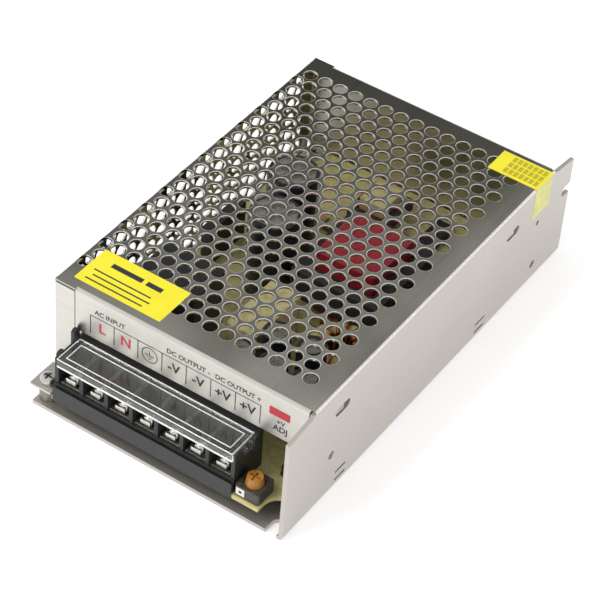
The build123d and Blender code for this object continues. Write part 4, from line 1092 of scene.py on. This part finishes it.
class SUPPLY_OT_components(SupplyOperator, bpy.types.Operator):
    """Dress the components on the board and the parts clamped to the side wall."""

    bl_idname = "supply.components"
    bl_label = "Components"

    def execute(self, context):
        sizes = context.scene.supply_fittings
        bulk = [(-15.0, 0.0, 8.0), (-22.0, 21.0, 8.0)]
        piece = stand_on("bulk_cans", can("pattern_bulk", 9.0, 33.0), bulk)
        seat(piece, "case", "capacitor_sleeve", "bulk_capacitors")
        outputs = [(8.0, -52.0, 8.0), (20.0, -50.5, 8.0), (32.0, -50.5, 8.0)]
        outputs += [(13.0, -38.5, 8.0), (25.5, -37.5, 8.0)]
        piece = stand_on("output_cans", can("pattern_output", 5.0, 25.0, 24), outputs)
        seat(piece, "case", "capacitor_sleeve", "output_capacitors")

        # Disc capacitors: dipped discs that thin out at the rim
        made = bmesh.new()
        disc = [(0, -1.8), (1.6, -1.75), (3.2, -1.5), (4.3, -1.1), (4.85, -0.5), (4.98, 0)]
        disc += [(r, -h) for r, h in disc[-2::-1]]
        add_lathe(made, disc, 28, Matrix.Rotation(HALF, 4, "Y"))
        pattern = plain_object("pattern_disc", made, [FINISH["capacitor_blue"]], 50)
        piece = stand_on("dipped_discs", pattern, [(-9.5, -55.0, 13.0), (-9.5, -43.0, 13.0)])
        seat(piece, "case", "capacitor_blue", "disc_capacitors")

        # Fuse: glass tube between two tinned caps, with its wire
        made = bmesh.new()
        across = Matrix.Translation(metres(-30.0, -58.0, 10.6)) @ Matrix.Rotation(HALF, 4, "Y")
        add_lathe(made, [(0, -9.6), (2.4, -9.6), (2.4, 9.6), (0, 9.6)], 24, across, [1, 1, 1])
        for end in (-1, 1):
            cap = [(0, 10.0), (2.3, 10.0), (2.6, 9.6), (2.6, 4.8), (2.4, 4.6), (0, 4.6)]
            add_lathe(made, [(r, end * h) for r, h in cap], 24, across)
        add_lathe(made, [(0, -5), (0.15, -5), (0.15, 5), (0, 5)], 8, across, [0, 0, 0])
        fuse = plain_object("glass_fuse", made, [FINISH["contact_metal"], FINISH["fuse_glass"]])
        seat(fuse, "case", "fuse_glass", "fuse")

        # Resistors: lacquered bodies with swollen ends and rings
        made = bmesh.new()
        body = [(0, -5.5), (1.2, -5.5), (1.9, -5.2), (2.2, -4.4), (2.1, -3.4)]
        body += [(1.95, level) for level in (-2.8, -1.9, -0.4, 0.5, 1.7, 2.6)]
        body += [(2.1, 3.4), (2.2, 4.4), (1.9, 5.2), (1.2, 5.5), (0, 5.5)]
        bands = [0, 0, 0, 0, 0, 1, 0, 2, 0, 1, 0, 0, 0, 0, 0]
        add_lathe(made, body, 20, Matrix.Rotation(HALF, 4, "Y"), bands)
        pattern = plain_object(
            "pattern_resistor", made, [FINISH["resistor_body"], FINISH["ring_brown"], FINISH["red_ink"]]
        )
        places = [(-36.0, 40.0, 10.2), (-36.0, 50.0, 10.2), (28.0, 44.0, 10.2), (-14.0, 36.5, 10.2)]
        piece = stand_on("ringed_resistors", pattern, places)
        seat(piece, "case", "resistor_body", "power_resistors")

        # Output inductor: enamelled turns round the painted ring
        low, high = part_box("inductor_winding")
        middle = (low + high) / 2
        winding = carrier("enamelled_turns", [(0, 0, 0)])
        grow(winding, TREES["winding"], {
            "Turns": sizes.turns, "Wire": sizes.wire, "Ring radius": 7.75 * MM,
            "Across": 6.9 * MM, "Height": high.z - low.z - sizes.wire, "Centre": tuple(middle),
            "Material": FINISH["winding_wire"],
        })
        applied(winding)
        winding.data.shade_smooth()
        seat(winding, "case", "winding_wire", "inductor_winding")
        softened("inductor_core", "painted_ring", FINISH["ring_core"], "case", "ring_core", 0.8)

        for node, name, finish, slot, width in (
            ("line_choke", "boxed_choke", "choke_black", "choke_black", 0.5),
            ("film_capacitor", "boxed_film_capacitor", "capacitor_yellow", "capacitor_yellow", 0.7),
            ("thermistor", "dipped_thermistor", "thermistor_black", "thermistor_black", 0.9),
            ("bridge_rectifier", "bridge_block", "package_black", "package_black", 0.5),
            ("main_transformer_core", "main_core", "ferrite", "ferrite", 0.5),
            ("main_transformer_winding", "taped_winding", "tape", "tape", 1.4),
            ("drive_transformer_core", "drive_core", "ferrite", "ferrite", 0.3),
            ("drive_transformer_winding", "drive_winding", "capacitor_yellow", "tape", 0.9),
            ("control_chip", "control_block", "package_black", "package_black", 0.3),
            ("switching_transistors", "transistor_blocks", "package_black", "package_black", 0.3),
            ("output_rectifiers", "rectifier_blocks", "package_black", "package_black", 0.3),
            ("heat_spreader", "spreader_bar", "aluminium_bar", "aluminium_bar", 0.3),
            ("clamp_bars", "steel_clamp_bars", "clamp_steel", "clamp_steel", 0.25),
        ):
            softened(node, name, FINISH[finish], "case", slot, width)
        return {"FINISHED"}


class SUPPLY_OT_print(SupplyOperator, bpy.types.Operator):
    """Print the skirt and stick the two plain labels on."""

    bl_idname = "supply.print"
    bl_label = "Print and labels"

    def execute(self, context):
        sizes = context.scene.supply_cover
        top = sizes.top / MM
        face = -COVER_END
        proud = face - 0.03
        still = (0, 0, 0)
        made = bmesh.new()
        # Bracket over the ways: a line with eight ticks, one between each pair of ways
        add_box(made, (-34.67, proud, 37.12), (30.28, face + 0.02, 37.42))
        given = grid(1, WAYS + 1, (-34.5, face, 37.2), still, (9.23, 0, 0), still, FINISH["ink"])
        marks_into(made, "tick", ((-0.17, -0.03, -7.6), (0.17, 0.02, 0)), 0, given)
        for words, x, z, height, slot in (
            ("L", -30.0, 33.4, 5.4, 1), ("N", -20.7, 33.4, 5.4, 1),
            ("-V", -2.3, 33.2, 5.0, 0), ("-V", 6.9, 33.2, 5.0, 0),
            ("+V", 16.1, 33.2, 5.0, 0), ("+V", 25.4, 33.2, 5.0, 0),
            ("AC INPUT", -27.0, 39.4, 2.6, 0),
            ("DC OUTPUT -", 3.0, 39.4, 2.6, 0), ("DC OUTPUT +", 21.6, 39.4, 2.6, 0),
            ("+V", 37.6, 34.2, 2.6, 0), ("ADJ", 37.6, 31.5, 3.2, 0),
        ):
            words_into(made, words, height, (x, face - 0.01, z), 0.04, slot)
        # Protective earth mark: a ring round a stem and three bars
        ring = Matrix.Translation(metres(-11.5, face, 33.4)) @ Matrix.Rotation(HALF, 4, "X")
        add_lathe(made, [(3.1, 0), (3.1, 0.03), (2.75, 0.03), (2.75, 0)], 40, ring, closed=True)
        add_box(made, (-11.63, proud, 33.4), (-11.37, face, 35.4))
        for half, level in ((1.7, 33.4), (1.1, 32.6), (0.5, 31.8)):
            add_box(made, (-11.5 - half, proud, level - 0.14), (-11.5 + half, face, level + 0.14))
        # Plain red field
        field = [(33.2, 36.6), (33.5, 36.3), (40.5, 36.3), (40.8, 36.6)]
        field += [(40.8, 39.2), (40.5, 39.5), (33.5, 39.5), (33.2, 39.2)]
        add_prism(made, field, "y", proud, face, 1)
        skirt_print = plain_object("skirt_print", made, [FINISH["ink"], FINISH["red_ink"]], 60)
        seat(skirt_print, "case", "plated_steel_sheet")

        # Front label: plain yellow film with ruled bars and no wording
        made = bmesh.new()
        corners = [(-44.2, -68.2), (-43.9, -68.5), (-11.3, -68.5), (-11.0, -68.2)]
        corners += [(-11.0, -52.5), (-11.3, -52.2), (-43.9, -52.2), (-44.2, -52.5)]
        add_prism(made, corners, "z", top - 0.005, top + 0.04, 0)
        given = grid(3, 1, (-41.5, -66.6, top + 0.038), (0, 2.3, 0), still, (1.2, 0, 0), FINISH["ink"])
        marks_into(made, "bar", ((0, 0, 0), (22.0, 0.6, 0.008)), 1, given)
        add_box(made, (-38.0, -58.0, top + 0.038), (-26.0, -56.0, top + 0.046), 1)
        add_box(made, (-24.5, -58.0, top + 0.038), (-18.5, -56.0, top + 0.046), 1)
        front = plain_object("front_label", made, [FINISH["label"], FINISH["ink"]], 60)
        seat(front, "case", "plated_steel_sheet")

        # Back label: folded over the edge and down the side wall, with a ruled grid
        made = bmesh.new()
        film = 0.045
        outline = folded([(30.0, top + film), (SIDE, top + film), (SIDE, 31.6)], film, 0.35, -1)
        add_prism(made, outline, "y", 58.7, 69.9, 0)
        for side in made.faces:
            if side.calc_center_median().z < 44.0 * MM:
                side.material_index = 2
        place = (34.8, 60.0, top + film - 0.002)
        given = grid(3, 7, place, (0, 3.2, 0), (1.95, 0, 0), still, FINISH["olive_ink"])
        marks_into(made, "cell", ((0, 0, 0), (1.5, 2.6, 0.008)), 1, given)
        films = [FINISH["label"], FINISH["olive_ink"], FINISH["label_fold"]]
        back = plain_object("back_label", made, films, 60)
        seat(back, "case", "plated_steel_sheet")
        return {"FINISHED"}


def soft_lamp(name, place, aim, size, power):
    """A round area lamp that looks at a point and isn't mirrored; places and size in metres."""
    lamp = bpy.data.lights.new(name, "AREA")
    lamp.shape = "DISK"
    lamp.size = size
    lamp.energy = power
    holder = linked(name, lamp)
    holder.location = place
    holder.rotation_euler = (Vector(aim) - Vector(place)).to_track_quat("-Z", "Y").to_euler()
    holder.visible_glossy = False


def seen_directly(tree):
    """One for what the camera, gloss or clear parts see, zero for light that falls on things."""
    rays = add(tree, "ShaderNodeLightPath").outputs
    seen = add(
        tree, "ShaderNodeMath", {0: rays["Is Camera Ray"], 1: rays["Is Glossy Ray"]}, operation="MAXIMUM"
    ).outputs[0]
    return add(
        tree, "ShaderNodeMath", {0: seen, 1: rays["Is Transmission Ray"]}, operation="MAXIMUM"
    ).outputs[0]


class SUPPLY_OT_stage(SupplyOperator, bpy.types.Operator):
    """Set the floor, the light, the card that the plating mirrors and the camera."""

    bl_idname = "supply.stage"
    bl_label = "Stage"

    def execute(self, context):
        scene = context.scene
        scene.view_settings.view_transform = "Standard"

        # The photograph's angle, distance and long lens
        azimuth, elevation, roll = math.radians(31.008), math.radians(42.668), math.radians(4.831)
        target = Vector(metres(4.818, -12.864, 22.5))
        distance, lens = 0.77817, 144.035

        # White surroundings for the camera, for gloss and through clear parts; softer light for the rest
        world = bpy.data.worlds.new("white_room")
        scene.world = world
        world.use_nodes = True
        tree = world.node_tree
        tree.nodes.clear()
        level = add(
            tree, "ShaderNodeMapRange", {"Value": seen_directly(tree), "To Min": 0.72, "To Max": 1.0}
        ).outputs[0]
        light = add(tree, "ShaderNodeBackground", {"Color": (1.0, 1.0, 1.0, 1.0), "Strength": level})
        add(tree, "ShaderNodeOutputWorld", {"Surface": light.outputs[0]})

        # Floor: matt white paper that stays white to the camera and keeps the shadow
        made = bmesh.new()
        bmesh.ops.create_grid(made, x_segments=1, y_segments=1, size=3.0)
        paper = bpy.data.materials.new("white_paper_floor")
        paper.use_nodes = True
        tree = paper.node_tree
        tree.nodes.clear()
        matt = add(tree, "ShaderNodeBsdfDiffuse", {"Color": (0.86, 0.86, 0.86, 1.0)}).outputs[0]
        glow = add(tree, "ShaderNodeEmission", {"Strength": 0.3}).outputs[0]
        white = add(tree, "ShaderNodeAddShader", {0: matt, 1: glow}).outputs[0]
        plain = add(tree, "ShaderNodeMixShader", {0: seen_directly(tree), 1: matt, 2: white}).outputs[0]
        add(tree, "ShaderNodeOutputMaterial", {"Surface": plain})
        floor = plain_object("studio_floor", made, [paper])

        # Grey card with soft clouds behind the object and above it. Only gloss sees it: the top sheet mirrors
        # it, as it would a dark wall.
        level_reach = math.cos(elevation)
        back = Vector(
            (math.sin(azimuth) * level_reach, -math.cos(azimuth) * level_reach, math.sin(elevation))
        )
        mirrored = Vector((-back.x, -back.y, back.z))
        made = bmesh.new()
        bmesh.ops.create_grid(made, x_segments=1, y_segments=1, size=0.5)
        card = bpy.data.materials.new("dark_card")
        card.use_nodes = True
        tree = card.node_tree
        tree.nodes.clear()
        place = add(tree, "ShaderNodeTexCoord").outputs["Object"]
        parts = add(tree, "ShaderNodeSeparateXYZ", {0: place}).outputs
        rising = add(
            tree, "ShaderNodeMapRange",
            {"Value": parts[1], "From Min": -0.13, "From Max": 0.13, "To Min": 0.2, "To Max": 0.76},
        ).outputs[0]
        cloud = add(tree, "ShaderNodeTexNoise", {"Vector": place, "Scale": 22.0, "Detail": 1.0}).outputs[0]
        patch = add(
            tree, "ShaderNodeMapRange",
            {"Value": cloud, "From Min": 0.35, "From Max": 0.65, "To Min": 0.65, "To Max": 1.3},
        ).outputs[0]
        strength = add(tree, "ShaderNodeMath", {0: rising, 1: patch}, operation="MULTIPLY").outputs[0]
        glow = add(tree, "ShaderNodeEmission", {"Color": linear("#EFEFE8"), "Strength": strength}).outputs[0]
        add(tree, "ShaderNodeOutputMaterial", {"Surface": glow})
        panel = plain_object("reflection_card", made, [card])
        panel.location = target + mirrored * 1.1
        panel.rotation_mode = "QUATERNION"
        panel.rotation_quaternion = (-mirrored).to_track_quat("Z", "Y")
        panel.visible_camera = False
        panel.visible_diffuse = False
        panel.visible_shadow = False
        panel.visible_transmission = False

        soft_lamp("key_light", (-0.7, -0.95, 1.3), target, 0.9, 14.0)
        soft_lamp("fill_light", (1.2, -0.4, 0.8), target, 1.0, 6.0)

        # Camera
        camera_data = bpy.data.cameras.new("photo_camera")
        camera_data.lens = lens
        camera_data.sensor_width = 36.0
        camera_data.clip_start = 0.01
        camera = linked("photo_camera", camera_data)
        right = Vector((math.cos(azimuth), math.sin(azimuth), 0.0))
        up = back.cross(right)
        rolled_right = right * math.cos(roll) + up * math.sin(roll)
        rolled_up = up * math.cos(roll) - right * math.sin(roll)
        turn = Matrix((rolled_right, rolled_up, back)).transposed()
        camera.matrix_world = Matrix.Translation(target + back * distance) @ turn.to_4x4()
        scene.camera = camera
        return {"FINISHED"}


OPERATORS = (
    SUPPLY_OT_finishes,
    SUPPLY_OT_cover,
    SUPPLY_OT_chassis,
    SUPPLY_OT_screws,
    SUPPLY_OT_terminals,
    SUPPLY_OT_adjuster,
    SUPPLY_OT_components,
    SUPPLY_OT_print,
    SUPPLY_OT_stage,
)


class SUPPLY_PT_panel(bpy.types.Panel):
    """Lists the sizes, the colours and the steps."""

    bl_label = "Power supply"
    bl_idname = "SUPPLY_PT_panel"
    bl_space_type = "VIEW_3D"
    bl_region_type = "UI"
    bl_category = "Power supply"

    def draw(self, context):
        layout = self.layout
        scene = context.scene
        for title, group in (
            ("Cover", scene.supply_cover),
            ("Fittings", scene.supply_fittings),
            ("Colours", scene.supply_colours),
        ):
            box = layout.box()
            box.label(text=title)
            for name in group.bl_rna.properties.keys():
                if name not in ("rna_type", "name"):
                    box.prop(group, name)
        for operator in OPERATORS:
            layout.operator(operator.bl_idname)


CLASSES = (CoverSizes, FittingSizes, FinishColours) + OPERATORS + (SUPPLY_PT_panel,)


def register():
    """Registers the classes and puts the sizes and colours on the scene."""
    for item in CLASSES:
        bpy.utils.register_class(item)
    bpy.types.Scene.supply_cover = PointerProperty(type=CoverSizes)
    bpy.types.Scene.supply_fittings = PointerProperty(type=FittingSizes)
    bpy.types.Scene.supply_colours = PointerProperty(type=FinishColours)


def unregister():
    """Takes the classes and the scene's properties away."""
    for name in ("supply_cover", "supply_fittings", "supply_colours"):
        delattr(bpy.types.Scene, name)
    for item in reversed(CLASSES):
        bpy.utils.unregister_class(item)


def main():
    register()
    for operator in OPERATORS:
        group, name = operator.bl_idname.split(".")
        getattr(getattr(bpy.ops, group), name)()


if __name__ == "__main__":
    main()
